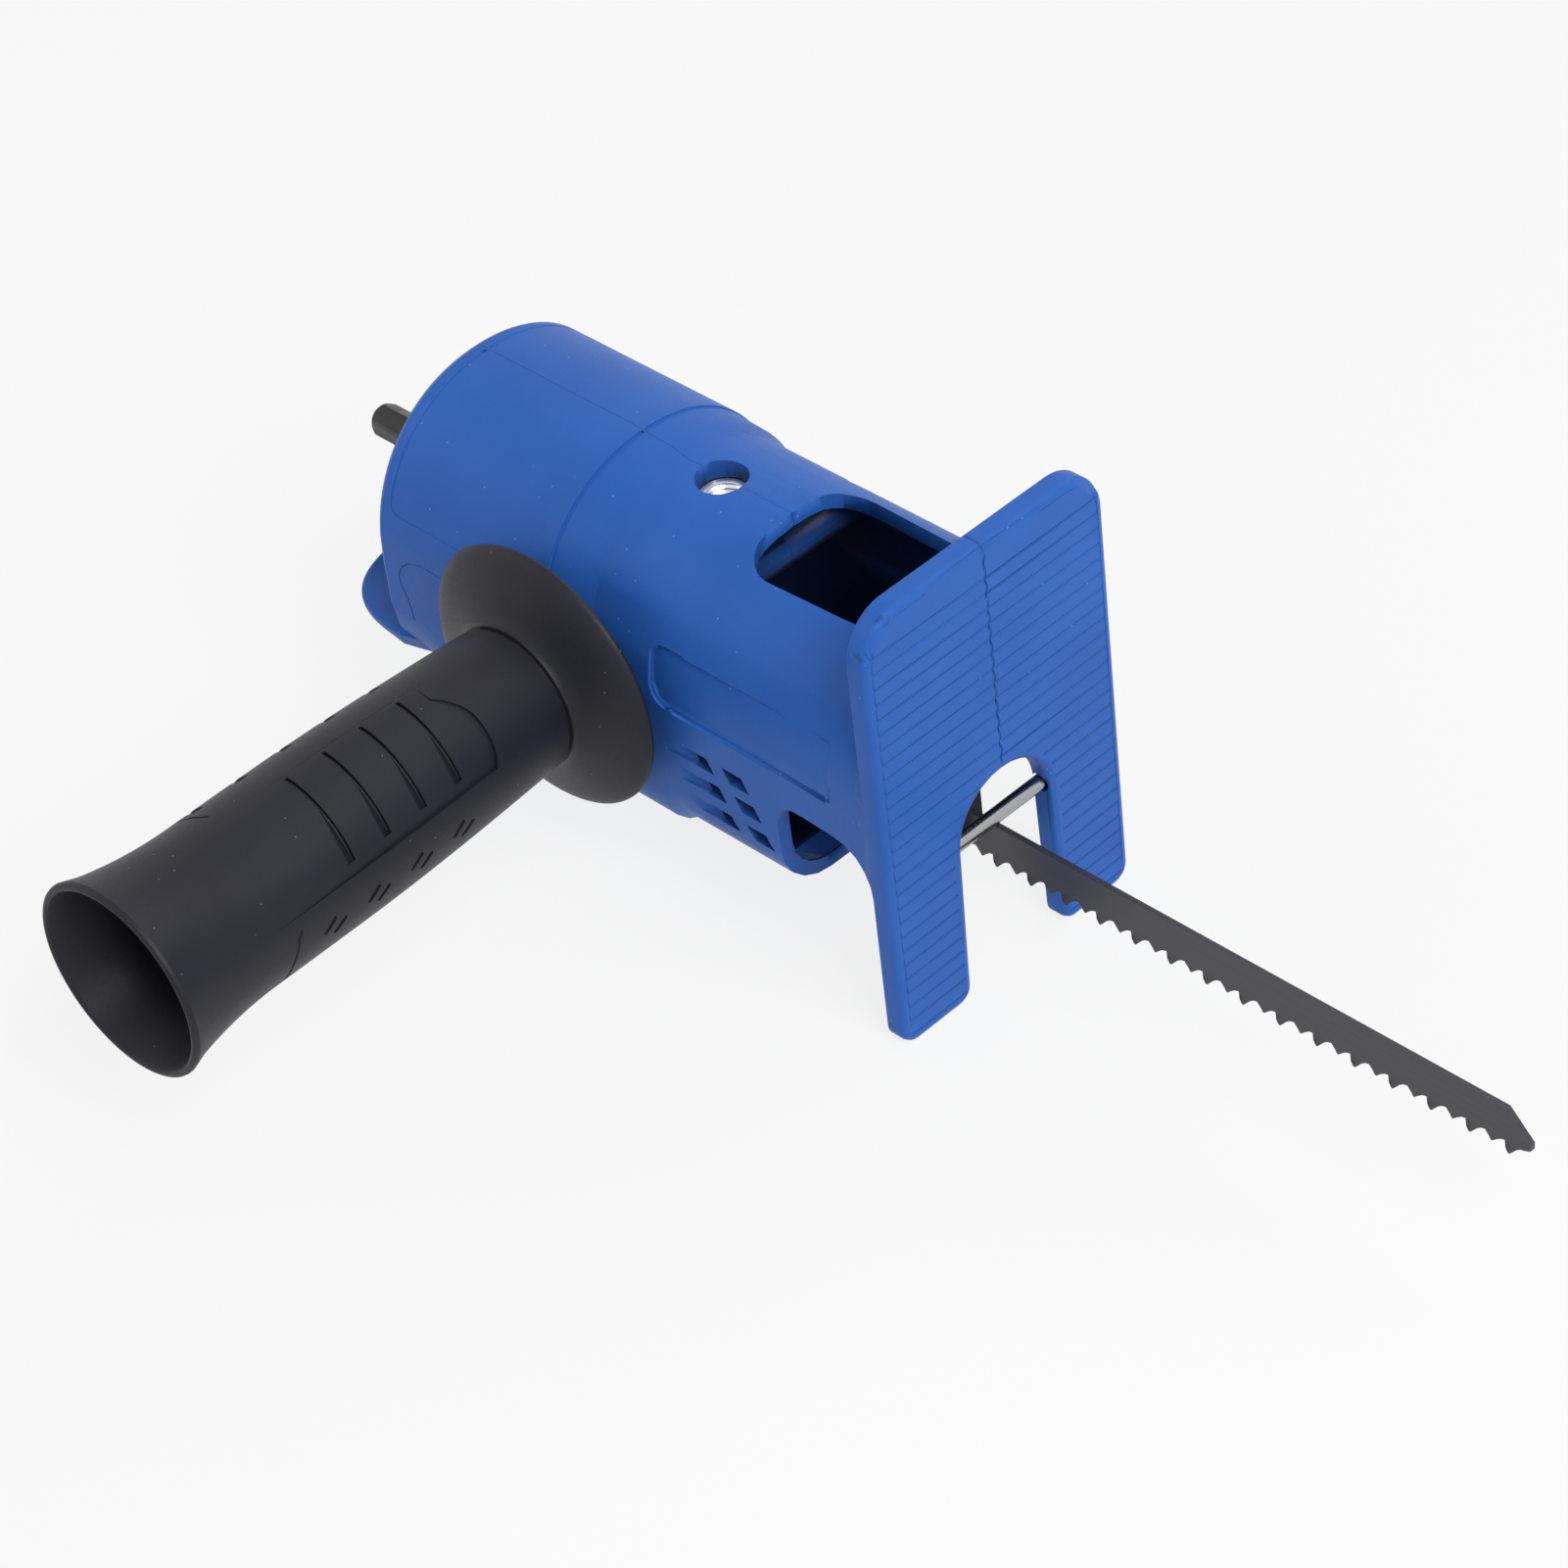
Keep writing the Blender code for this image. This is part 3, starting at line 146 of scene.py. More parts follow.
bpy.ops.object.select_all(action="DESELECT")
bpy.ops.mesh.primitive_plane_add(size=FLOOR_SIDE, location=(0, 0, cad_box[0][2]))
floor = bpy.context.object
floor.name = "floor"
floor.data.materials.append(floor_material())
print("floor height in mm:", round(cad_box[0][2] / mm, 2))

# %% [markdown]
# ## Light
#
# A product photo is lit softly from all round. The world gives that even light, and shows plain white to the camera
# by the same factor as the floor. One large lamp in front and above gives the top faces their brightness, and two weak
# ones lift the sides that it leaves dark.

# %% Light
WORLD_LEVEL = 0.42      # light that the world throws on the saw
LAMP_AIM = Vector((0.13, 0, 0))
LAMPS = {
    # name: (place, watts, width)
    "key_lamp": ((1.25, -0.25, 1.2), 17.0, 0.9),
    "fill_lamp": ((-0.9, -0.9, 0.7), 2.0, 1.0),
    "back_lamp": ((0.2, 1.3, 1.0), 4.0, 1.0),
}


def light_world():
    world = bpy.data.worlds.new("studio")
    bpy.context.scene.world = world
    world.use_nodes = True
    tree = world.node_tree
    lamp = tree.nodes["Background"]
    lamp.inputs["Color"].default_value = (1, 1, 1, 1)
    lamp.inputs["Strength"].default_value = WORLD_LEVEL
    white = tree.nodes.new("ShaderNodeBackground")
    white.inputs["Color"].default_value = (1, 1, 1, 1)
    mix = tree.nodes.new("ShaderNodeMixShader")
    tree.links.new(seen_by_eye(tree), mix.inputs[0])
    tree.links.new(lamp.outputs[0], mix.inputs[1])
    tree.links.new(white.outputs[0], mix.inputs[2])
    tree.links.new(mix.outputs[0], tree.nodes["World Output"].inputs["Surface"])


def add_lamp(name, place, watts, width):
    place = Vector(place)
    bpy.ops.object.light_add(type="AREA", location=place)
    lamp = bpy.context.object
    lamp.name = name
    lamp.rotation_euler = (LAMP_AIM - place).to_track_quat("-Z", "Y").to_euler()
    lamp.data.energy = watts
    lamp.data.size = width


light_world()
for name, values in LAMPS.items():
    add_lamp(name, *values)
bpy.context.scene.view_settings.view_transform = "Standard"
print("lamps:", sorted(LAMPS))

# %% [markdown]
# ## Finishes
#
# Three effects come back in many materials, so each is a node group with its own values in each material.
# Moulded grain is the fine, even roughness that a spark-eroded mould leaves on plastic, with slow changes of shade.
# Dust is a scatter of tiny pale specks. Ground lines are the fine streaks of steel that was drawn or ground one way.
# All of them read Object coordinates, in metres, so a scale of 1000 is one wave for each millimetre.

# %% Node groups


def new_group(name, inputs, outputs):
    """Empty shader group with sockets, and its entry and exit."""
    group = bpy.data.node_groups.new(name, "ShaderNodeTree")
    for label, default in inputs:
        socket = group.interface.new_socket(label, in_out="INPUT", socket_type="NodeSocketFloat")
        socket.default_value = default
    for label in outputs:
        group.interface.new_socket(label, in_out="OUTPUT", socket_type="NodeSocketFloat")
    return group, group.nodes.new("NodeGroupInput"), group.nodes.new("NodeGroupOutput")


def add_node(tree, kind, links=(), **settings):
    """Node with its settings, and links given as (input, socket or value)."""
    node = tree.nodes.new(kind)
    for key, value in settings.items():
        setattr(node, key, value)
    for socket, source in links:
        if isinstance(source, bpy.types.NodeSocket):
            tree.links.new(source, node.inputs[socket])
        else:
            node.inputs[socket].default_value = source
    return node


def object_place(tree):
    return add_node(tree, "ShaderNodeTexCoord").outputs["Object"]


def make_moulded_grain():
    group, entry, leave = new_group("moulded_grain", [("Scale", 2200.0), ("Cloud Scale", 45.0)], ["Height", "Cloud"])
    place = object_place(group)
    fine = add_node(group, "ShaderNodeTexNoise",
                    [("Vector", place), ("Scale", entry.outputs["Scale"]), ("Detail", 3.0), ("Roughness", 0.6)])
    cloud = add_node(group, "ShaderNodeTexNoise",
                     [("Vector", place), ("Scale", entry.outputs["Cloud Scale"]), ("Detail", 4.0)])
    group.links.new(fine.outputs["Fac"], leave.inputs["Height"])
    group.links.new(cloud.outputs["Fac"], leave.inputs["Cloud"])
    return group


def make_dust():
    group, entry, leave = new_group("dust", [("Scale", 620.0), ("Size", 0.11), ("Share", 0.1)], ["Mask"])
    cells = add_node(group, "ShaderNodeTexVoronoi",
                     [("Vector", object_place(group)), ("Scale", entry.outputs["Scale"])])
    near = add_node(group, "ShaderNodeMath", [(0, cells.outputs["Distance"]), (1, entry.outputs["Size"])],
                    operation="LESS_THAN")
    luck = add_node(group, "ShaderNodeSeparateColor", [(0, cells.outputs["Color"])])
    chosen = add_node(group, "ShaderNodeMath", [(0, luck.outputs[0]), (1, entry.outputs["Share"])],
                      operation="LESS_THAN")
    mask = add_node(group, "ShaderNodeMath", [(0, near.outputs[0]), (1, chosen.outputs[0])], operation="MULTIPLY")
    group.links.new(mask.outputs[0], leave.inputs["Mask"])
    return group


def make_ground_lines():
    group, entry, leave = new_group("ground_lines", [("Along", 60.0), ("Across", 4000.0)], ["Lines"])
    parts = add_node(group, "ShaderNodeSeparateXYZ", [(0, object_place(group))])
    stretched = add_node(group, "ShaderNodeCombineXYZ")
    for axis, rate in (("X", "Along"), ("Y", "Across"), ("Z", "Across")):
        scaled = add_node(group, "ShaderNodeMath", [(0, parts.outputs[axis]), (1, entry.outputs[rate])],
                          operation="MULTIPLY")
        group.links.new(scaled.outputs[0], stretched.inputs[axis])
    noise = add_node(group, "ShaderNodeTexNoise",
                     [("Vector", stretched.outputs[0]), ("Scale", 1.0), ("Detail", 4.0), ("Roughness", 0.65)])
    group.links.new(noise.outputs["Fac"], leave.inputs["Lines"])
    return group


GRAIN = make_moulded_grain()
DUST = make_dust()
LINES = make_ground_lines()
print("groups:", [group.name for group in (GRAIN, DUST, LINES)])

# %% [markdown]
# ### Plastics
#
# The housing is blue and the handle charcoal, both moulded with a fine, matt grain and a little dusty. One recipe
# makes both: the cloud shifts the shade, the dust lies on it, and the grain goes into roughness and bump. Deep inside,
# where a mark on the mesh says so, the colour turns dark: painted shade for the shadow inside the housing.

# %% Plastics


def new_material(name, **sockets):
    """Material with a Principled shader and the plain values of its sockets."""
    material = bpy.data.materials.new(name)
    material.use_nodes = True
    shader = material.node_tree.nodes["Principled BSDF"]
    for socket, value in sockets.items():
        shader.inputs[socket.replace("_", " ")].default_value = value
    return material, material.node_tree, shader


def place_group(tree, group, **values):
    node = add_node(tree, "ShaderNodeGroup", node_tree=group)
    for socket, value in values.items():
        node.inputs[socket.replace("_", " ")].default_value = value
    return node


def ramp(tree, factor, low, high, start=0.0, end=1.0):
    """Two colours, or two levels of grey, spread over a stretch of a factor."""
    node = add_node(tree, "ShaderNodeValToRGB", [(0, factor)])
    for element, place, value in zip(node.color_ramp.elements, (start, end), (low, high)):
        element.position = place
        element.color = (*value, 1) if isinstance(value, tuple) else (value, value, value, 1)
    return node.outputs["Color"]


def mix_colour(tree, factor, first, second):
    node = add_node(tree, "ShaderNodeMix", data_type="RGBA")
    for socket, value in ((node.inputs[0], factor), (node.inputs[6], first), (node.inputs[7], second)):
        if isinstance(value, bpy.types.NodeSocket):
            tree.links.new(value, socket)
        else:
            socket.default_value = (*value, 1) if isinstance(value, tuple) else value
    return node.outputs[2]


def bump(tree, shader, height, depth, strength=1.0):
    node = add_node(tree, "ShaderNodeBump", [("Height", height), ("Distance", depth), ("Strength", strength)])
    tree.links.new(node.outputs["Normal"], shader.inputs["Normal"])


def moulded_plastic(name, dark, light, dust, inside, rough, grain_scale, depth, dust_share):
    """Plastic with moulded grain, slow changes of shade and pale dust, and painted shade where it is shut in."""
    material, tree, shader = new_material(name, Specular_IOR_Level=0.22)
    grain = place_group(tree, GRAIN, Scale=grain_scale)
    specks = place_group(tree, DUST, Share=dust_share)
    # This mark says how shut in a corner is, and mixes the dark inside colour in as painted shade.
    painted_shade = add_node(tree, "ShaderNodeAttribute", attribute_name="painted_shade").outputs["Fac"]
    body = ramp(tree, grain.outputs["Cloud"], dark, light, 0.3, 0.7)
    dusty = mix_colour(tree, specks.outputs["Mask"], body, dust)
    tree.links.new(mix_colour(tree, painted_shade, dusty, inside), shader.inputs["Base Color"])
    height = grain.outputs["Height"]
    tree.links.new(ramp(tree, height, rough - 0.06, rough + 0.06, 0.3, 0.7), shader.inputs["Roughness"])
    bump(tree, shader, height, depth)
    return material


# The fourth colour of each plastic is its painted shade, for corners shut in by the housing.
blue_plastic = moulded_plastic("moulded_blue", (0.021, 0.115, 0.46), (0.027, 0.134, 0.52), (0.14, 0.28, 0.66),
                               (0.004, 0.014, 0.055), 0.46, 2600.0, 0.00004, 0.08)
charcoal_plastic = moulded_plastic("moulded_charcoal", (0.013, 0.013, 0.020), (0.017, 0.017, 0.026),
                                   (0.12, 0.12, 0.13), (0.006, 0.006, 0.008), 0.46, 3000.0, 0.00003, 0.06)
print("plastics:", blue_plastic.name, charcoal_plastic.name)

# %% [markdown]
# ### Metals
#
# Ground steel gets streaks in its roughness and its bump. Zinc plate is brighter and a little cloudy.
# Black oxide and the blade's coating hide most of the metal, so their colour is dark and they are only half metallic.

# %% Metals


def streaked_metal(name, dark, light, metallic, rough, along=60.0, across=4000.0, depth=0.00001):
    material, tree, shader = new_material(name, Metallic=metallic)
    lines = place_group(tree, LINES, Along=along, Across=across).outputs["Lines"]
    tree.links.new(ramp(tree, lines, dark, light, 0.3, 0.7), shader.inputs["Base Color"])
    tree.links.new(ramp(tree, lines, rough - 0.08, rough + 0.08, 0.3, 0.7), shader.inputs["Roughness"])
    bump(tree, shader, lines, depth)
    return material


def cloudy_metal(name, dark, light, metallic, rough, scale=900.0, cloud=160.0, depth=0.000008):
    material, tree, shader = new_material(name, Metallic=metallic)
    grain = place_group(tree, GRAIN, Scale=scale, Cloud_Scale=cloud)
    haze = grain.outputs["Cloud"]
    tree.links.new(ramp(tree, haze, dark, light, 0.35, 0.65), shader.inputs["Base Color"])
    tree.links.new(ramp(tree, haze, rough + 0.08, rough - 0.06, 0.35, 0.65), shader.inputs["Roughness"])
    bump(tree, shader, grain.outputs["Height"], depth)
    return material


bright_steel = streaked_metal("bright_steel", (0.30, 0.30, 0.31), (0.46, 0.46, 0.47), 1.0, 0.22)
plain_steel = streaked_metal("plain_steel", (0.30, 0.30, 0.32), (0.42, 0.42, 0.44), 1.0, 0.36)
blade_coat = streaked_metal("blade_coat", (0.044, 0.041, 0.047), (0.066, 0.062, 0.070), 0.4, 0.40, 25.0, 2200.0)
zinc_plate = cloudy_metal("zinc_plate", (0.66, 0.67, 0.70), (0.80, 0.81, 0.84), 1.0, 0.22)
black_oxide = cloudy_metal("black_oxide", (0.018, 0.018, 0.020), (0.030, 0.030, 0.032), 0.5, 0.40)
bronze = cloudy_metal("bronze", (0.36, 0.22, 0.10), (0.50, 0.32, 0.15), 1.0, 0.42, 2500.0, 600.0, 0.00003)
FINISHES = {"blue_plastic": blue_plastic, "handle_plastic": charcoal_plastic, "bright_steel": bright_steel,
            "screw_steel": plain_steel, "blade_steel": blade_coat, "zinc_plate": zinc_plate,
            "black_oxide": black_oxide, "bronze": bronze}
SLOT_OF = {entry["node"]: entry["material_slot"] for entry in frame["record"]["subparts"]}
BODY_OF = {node: body for body, names in frame["record"]["behaviour"]["bodies"].items() for node in names}
print("finishes:", sorted(FINISHES))

# %% [markdown]
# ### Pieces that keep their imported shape
#
# Bearing races, bushes and other pieces inside the housing already have the right shape, and only need a finish.

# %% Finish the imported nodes
for name, node in nodes.items():
    for place in node.material_slots:
        place.material = FINISHES[SLOT_OF[name]]
print("finished nodes:", len(nodes))

# %% [markdown]
# ## Housing halves
#
# The housing is two blue mouldings that meet on a seam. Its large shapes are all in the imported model, so the new
# halves start as copies of it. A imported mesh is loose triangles: merging its doubles makes it one skin,
# and dissolving flat joints gives whole faces back. On the real tool the halves close to a hair line,
# so the faces on the seam move nearly together.

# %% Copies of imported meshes
SEAM_HALF = 0.16 * mm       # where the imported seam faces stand, with a little to spare
SEAM_MOVE = 0.12 * mm
SIDES = {"right": -1, "left": 1}        # and the way of their outside along Y


def only(*pieces):
    """Selects these pieces and nothing else, the last one active."""
    if bpy.context.object and bpy.context.object.mode != "OBJECT":
        bpy.ops.object.mode_set(mode="OBJECT")
    bpy.ops.object.select_all(action="DESELECT")
    for piece in pieces:
        piece.select_set(True)
        bpy.context.view_layer.objects.active = piece


def edit(piece, select="SELECT"):
    only(piece)
    bpy.ops.object.mode_set(mode="EDIT")
    bpy.ops.mesh.select_mode(type="VERT")
    bpy.ops.mesh.select_all(action=select)


def leave_edit():
    bpy.ops.object.mode_set(mode="OBJECT")


def select_where(piece, test):
    """Opens a piece in edit mode with the vertices selected that pass a test of their place."""
    edit(piece, "DESELECT")
    leave_edit()
    for vertex in piece.data.vertices:
        vertex.select = test(vertex.co)
    bpy.ops.object.mode_set(mode="EDIT")


def copy_of_node(name):
    """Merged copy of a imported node, free of its body."""
    only(nodes[name])
    bpy.ops.object.duplicate()
    piece = bpy.context.object
    piece.name = name + "_look"
    piece.parent = None
    piece.matrix_world = Matrix()
    for key in list(piece.keys()):
        del piece[key]
    edit(piece)
    bpy.ops.mesh.remove_doubles(threshold=1e-7)
    bpy.ops.mesh.dissolve_limited(angle_limit=math.radians(0.3))
    leave_edit()
    return piece


def smooth(piece, angle=30.0):
    only(piece)
    bpy.ops.object.shade_smooth_by_angle(angle=math.radians(angle))


def dress(piece, *names, finish=None, angle=30.0):
    """Finish, shading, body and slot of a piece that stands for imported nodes."""
    smooth(piece, angle)
    piece.data.materials.clear()
    piece.data.materials.append(finish or FINISHES[SLOT_OF[names[0]]])
    for face in piece.data.polygons:
        face.material_index = 0
    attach(piece, BODY_OF[names[0]])
    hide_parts(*names)


halves = {}
for side_name, side in SIDES.items():
    half = copy_of_node("housing_" + side_name)
    select_where(half, lambda place: abs(place.y) < SEAM_HALF)
    bpy.ops.transform.translate(value=(0, -side * SEAM_MOVE, 0))
    leave_edit()
    halves[side_name] = half
    print(half.name, "faces:", len(half.data.polygons))

# %% [markdown]
# ### Side recess
#
# Behind the shoe each side has a shallow recess with round corners. In the photo its upper edge lies a few
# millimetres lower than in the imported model. It could be filled and cut again, but its corners are good, so the
# vertices above its middle slide down the skin. The skin is a superellipse there, and each height is moved by itself,
# with the step outwards that keeps it on that curve.

# %% Lower the recess
RECESS_BACK = 107.5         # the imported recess, in mm
RECESS_FRONT = 153.3
RECESS_MIDDLE = 8.45
RECESS_TOP = 16.5
RECESS_LINE = 13.0          # height of its upper edge in the photo
RECESS_DEEP = 1.6           # a little more than its depth
CROWN_HALF = 29.2           # half width, height and power of the skin there
CROWN_TOP = 31.7
CROWN_POWER = 2.15


def skin_half(height):
    """Half width of the skin at a height."""
    return CROWN_HALF * (1 - (abs(height) / CROWN_TOP) ** CROWN_POWER) ** (1 / CROWN_POWER)


def in_recess(place):
    """True for a place on the upper part of the recess, its edge or its floor."""
    x, y, z = place / mm
    if not (RECESS_BACK - 0.5 < x < RECESS_FRONT + 0.5 and RECESS_MIDDLE + 0.1 < z < RECESS_TOP + 0.1):
        return False
    return skin_half(z) - RECESS_DEEP < abs(y) < skin_half(z) + RECESS_DEEP


def lower_recess(half, side):
    """Moves each height of the recess by a share of its distance from the middle, and counts the heights."""
    share = (RECESS_LINE - RECESS_MIDDLE) / (RECESS_TOP - RECESS_MIDDLE)
    heights = sorted({round(v.co.z / mm, 2) for v in half.data.vertices if in_recess(v.co)})
    for height in heights:
        select_where(half, lambda place: in_recess(place) and abs(place.z / mm - height) < 0.006)
        target = RECESS_MIDDLE + (height - RECESS_MIDDLE) * share
        out = skin_half(target) - skin_half(height)
        bpy.ops.transform.translate(value=(0, side * out * mm, (target - height) * mm))
        leave_edit()
    return len(heights)


for side_name, side in SIDES.items():
    print(side_name, "recess heights moved:", lower_recess(halves[side_name], side))

# %% [markdown]
# ### Plain face of the shoe
#
# The shoe is the plate that is pressed on the work. Its packed face has coarse grooves, and the real one has many
# fine ribs, which are cut later. So the coarse grooves go first. Deleting their vertices would tear a hole, but
# dissolving them leaves one flat face.

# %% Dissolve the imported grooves
SHOE_FRONT = 168.1
NOTCH_TOP = -4.2
NOTCH_HALF = 11.7
NOTCH_MIDDLE = NOTCH_TOP - NOTCH_HALF       # height of the centre of its round top
COARSE_FLOOR = 167.2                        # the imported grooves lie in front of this, and within the next values
COARSE_SIDE = 28.9
COARSE_HEIGHTS = (-49.0, 45.5)
COARSE_BESIDE = 14.5                        # from the middle of the notch, beside it and round its top
COARSE_ABOVE = 13.4


def in_groove(place):
    x, y, z = place / mm
    low, high = COARSE_HEIGHTS
    beside = abs(y) > COARSE_BESIDE if z < NOTCH_MIDDLE else math.hypot(y, z - NOTCH_MIDDLE) > COARSE_ABOVE
    return x > COARSE_FLOOR and abs(y) < COARSE_SIDE and low < z < high and beside


for side_name, half in halves.items():
    select_where(half, in_groove)
    bpy.ops.mesh.dissolve_verts()
    leave_edit()
    print(side_name, "faces with a plain shoe:", len(half.data.polygons))

# %% [markdown]
# ### Finer skin
#
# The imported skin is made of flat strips, and its outline shows their corners. A Subdivision Surface modifier would
# also melt the crisp edges. So only edges that run round the crown, the corners of the shoe and its notch are
# subdivided, and the new vertices move out to the curve that the strips stand for: a superellipse for the crown, and
# circles on the shoe.

# %% Refine the skin
CROWN = ((34.0, 29.6, 31.5), (34.6, 30.7, 32.6), (35.7, 31.3, 33.2), (81.0, 31.3, 33.2), (81.3, 31.0, 32.9),
         (88.7, 30.7, 32.6), (92.0, CROWN_HALF, CROWN_TOP), (145.3, CROWN_HALF, CROWN_TOP), (154.3, 29.6, 32.1),
         (160.3, 30.0, 32.9), (163.3, 30.4, 34.5))      # place along the saw, half width and height of the crown
SHOE_BACK = 163.3
SHOE_EDGES = ((SHOE_BACK, 0.41), (163.71, 0.0), (166.7, 0.0), (167.69, 0.41), (SHOE_FRONT, 1.4))  # place, step in
SHOE_ARCS = ((20.8, 37.4, 10.0, -1), (0.0, NOTCH_MIDDLE, NOTCH_HALF, 1))    # centre, radius, way: corner and notch
STRIP = 0.012                           # share by which a flat strip may lie inside its curve
CUTS = 2


def near_recess(place):
    x, y, z = place / mm
    return RECESS_BACK - 1 < x < RECESS_FRONT + 0.6 and z < RECESS_TOP + 1


def between(table, x):
    """Values of a table of places at one place, or None outside it."""
    for (back, *low), (front, *high) in zip(table, table[1:]):
        if back - 0.01 <= x <= front + 0.01:
            return [a + (b - a) * (x - back) / (front - back) for a, b in zip(low, high)]
    return None


def crown_factor(place):
    """Factor that brings a place on a strip out to the crown, or None off the crown and at the recess."""
    x, y, z = place / mm
    size = between(CROWN, x)
    if not size or z < 0.05 or near_recess(place):
        return None
    level = (abs(y) / size[0]) ** CROWN_POWER + (z / size[1]) ** CROWN_POWER
    factor = level ** (-1 / CROWN_POWER)
    return factor if abs(factor - 1) < STRIP else None


def shoe_factor(place):
    """Centre and factor that bring a place on the shoe out to the circle of its edge, or None."""
    x, y, z = place / mm
    step = between(SHOE_EDGES, x)
    for middle, height, radius, way in SHOE_ARCS:
        flat = Vector((abs(y) - middle, z - height))
        if step and flat.y > -0.05 and (middle == 0 or flat.x > -0.05):
            target = radius + way * step[0]
            if target * (1 - STRIP - 0.004) < flat.length < target * 1.001:
                return Vector((x, math.copysign(middle, y), height)) * mm, target / flat.length
    return None


def refine_skin(half):
    """Subdivides the edges that run round the crown and the round edges of the shoe, and moves their vertices out."""
    edit(half, "DESELECT")
    bpy.ops.mesh.select_mode(type="EDGE")
    leave_edit()
    for edge in half.data.edges:
        ends = [half.data.vertices[v].co for v in edge.vertices]
        around = abs(ends[0].x - ends[1].x) < 0.05 * mm
        edge.select = around and (all(map(crown_factor, ends)) or all(map(shoe_factor, ends)))
    bpy.ops.object.mode_set(mode="EDIT")
    bpy.ops.mesh.subdivide(number_cuts=CUTS)
    leave_edit()
    for vertex in half.data.vertices:
        factor = crown_factor(vertex.co)
        round_edge = shoe_factor(vertex.co)
        if factor:
            vertex.co.yz = vertex.co.yz * factor
        elif round_edge:
            centre, factor = round_edge
            vertex.co.yz = centre.yz + (vertex.co.yz - centre.yz) * factor


for side_name, half in halves.items():
    refine_skin(half)
    print(side_name, "faces of the finer skin:", len(half.data.polygons))

# %% [markdown]
# ### Hand guard
#
# Behind the rim a rounded bill shields the hand from the turning chuck of the drill. It has no simple curve to move
# out to, so it is subdivided all over and the smooth tool rounds it off. Vertices on the seam may slide along it, but
# never off it, so the tool runs in two turns, one along the seam and one across it.

# %% Soften the hand guard
GUARD_FRONT = 33.0
SOFTEN_ROUNDS = 4


def on_guard(place):
    return place.x < GUARD_FRONT * mm


def soften_guard(half):
    select_where(half, on_guard)
    bpy.ops.mesh.subdivide(number_cuts=CUTS)
    for _ in range(SOFTEN_ROUNDS):
        select_where(half, on_guard)
        bpy.ops.mesh.vertices_smooth(factor=0.5, repeat=2, yaxis=False)
        select_where(half, lambda place: on_guard(place) and abs(place.y) > SEAM_HALF)
        bpy.ops.mesh.vertices_smooth(factor=0.5, repeat=2, xaxis=False, zaxis=False)
    leave_edit()


for side_name, half in halves.items():
    soften_guard(half)
    print(side_name, "vertices of the hand guard:", sum(on_guard(v.co) for v in half.data.vertices))

# %% [markdown]
# ### A guide before the cuts
#
# Fine lines are cut into this skin next, and a cut spoils the shading round it. So a copy of each half is kept as a
# guide, with normals that follow its large faces. A boolean trusts each face to be flat, and moved vertices have bent
# some of them, so the halves themselves are split to triangles.

# %% Guides and flat faces
HOUSING_ANGLE = 50.0


def plain_guide(piece):
    """Copy of a piece before the cuts, with normals that follow its larger faces."""
    only(piece)
    bpy.ops.object.duplicate()
    guide = bpy.context.object
    bpy.ops.object.modifier_add(type="WEIGHTED_NORMAL")
    guide.modifiers[-1].keep_sharp = True
    bpy.ops.object.modifier_apply(modifier=guide.modifiers[-1].name)
    return guide


def flat_faces(half):
    edit(half)
    bpy.ops.mesh.quads_convert_to_tris(quad_method="BEAUTY", ngon_method="BEAUTY")
    leave_edit()


guides = {}
for side_name, half in halves.items():
    smooth(half, HOUSING_ANGLE)
    guides[side_name] = plain_guide(half)
    flat_faces(half)
    print(side_name, "flat faces:", len(half.data.polygons))

# %% [markdown]
# ### Panel lines
#
# Fine lines are engraved in the barrel: a ring near the rim that turns forward, a smaller rounded outline below it,
# and the ring where the barrel steps down to the neck. Two more sharpen the rear end of the recess and the ridge under
# it. Their points could be typed in, but rays shot at the skin from outside find the real surface.

# %% Points on the skin
RIM = 34.0              # from the shank's end to the barrel's rim, in mm
FAR = 0.2               # where the rays start, in metres
RING_LINE = 3.9         # places along the barrel, from the rim
STEP_LINE = 47.1
PANEL_EDGE = 11.9       # height at which the ring line runs forward
PANEL_TURN = 2.6
LOW_PANEL = [(24.0, 3.5), (18.0, 3.7), (12.7, 4.0), (9.1, 2.9), (6.6, 0.9), (5.5, -1.6), (5.7, -3.9), (6.7, -5.9),
             (7.5, -8.6), (7.8, -11.5)]
RECESS_BASE = 0.4
RECESS_CORNER = 4.0
RECESS_HIGH_CORNER = 2.3    # height of its upper corner, after it was moved down
RIDGE = [(78.5, 0.3), (92.0, 0.2), (106.0, 0.25), (118.4, 0.4)]


def skin_at(piece, start, way):
    hit, place, normal, face = piece.ray_cast(start, way)
    return place if hit else None


def round_ring(piece, station, first, last, side):
    """Points round the barrel at one station, by angle from the top, one for each two degrees."""
    points = []
    for step in range(int((last - first) / 2) + 1):
        angle = math.radians(first + 2 * step)
        out = Vector((0, side * math.sin(angle), math.cos(angle)))
        points.append(skin_at(piece, Vector(((RIM + station) * mm, 0, 0)) + out * FAR, -out))
    return [point for point in points if point]


def along_side(piece, spots, side):
    """Points on the side of the housing, by distance from the rim and height."""
    starts = [Vector(((RIM + x) * mm, side * FAR, z * mm)) for x, z in spots]
    found = [skin_at(piece, start, Vector((0, -side, 0))) for start in starts]
    return [point for point in found if point]


def ring_panel(piece, side):
    """Line that comes round from the top, turns on a small radius and runs forward."""
    turn = PANEL_TURN
    corner = []
    for degrees in range(0, 91, 15):
        a = math.radians(degrees)
        corner.append((RING_LINE + turn * (1 - math.cos(a)), PANEL_EDGE + turn * (1 - math.sin(a))))
    ring = [point for point in round_ring(piece, RING_LINE, 1.0, 75.0, side) if point.z > (PANEL_EDGE + turn) * mm]
    forward = [(x, PANEL_EDGE) for x in range(9, 31, 3)]
    return ring + along_side(piece, corner + forward, side)


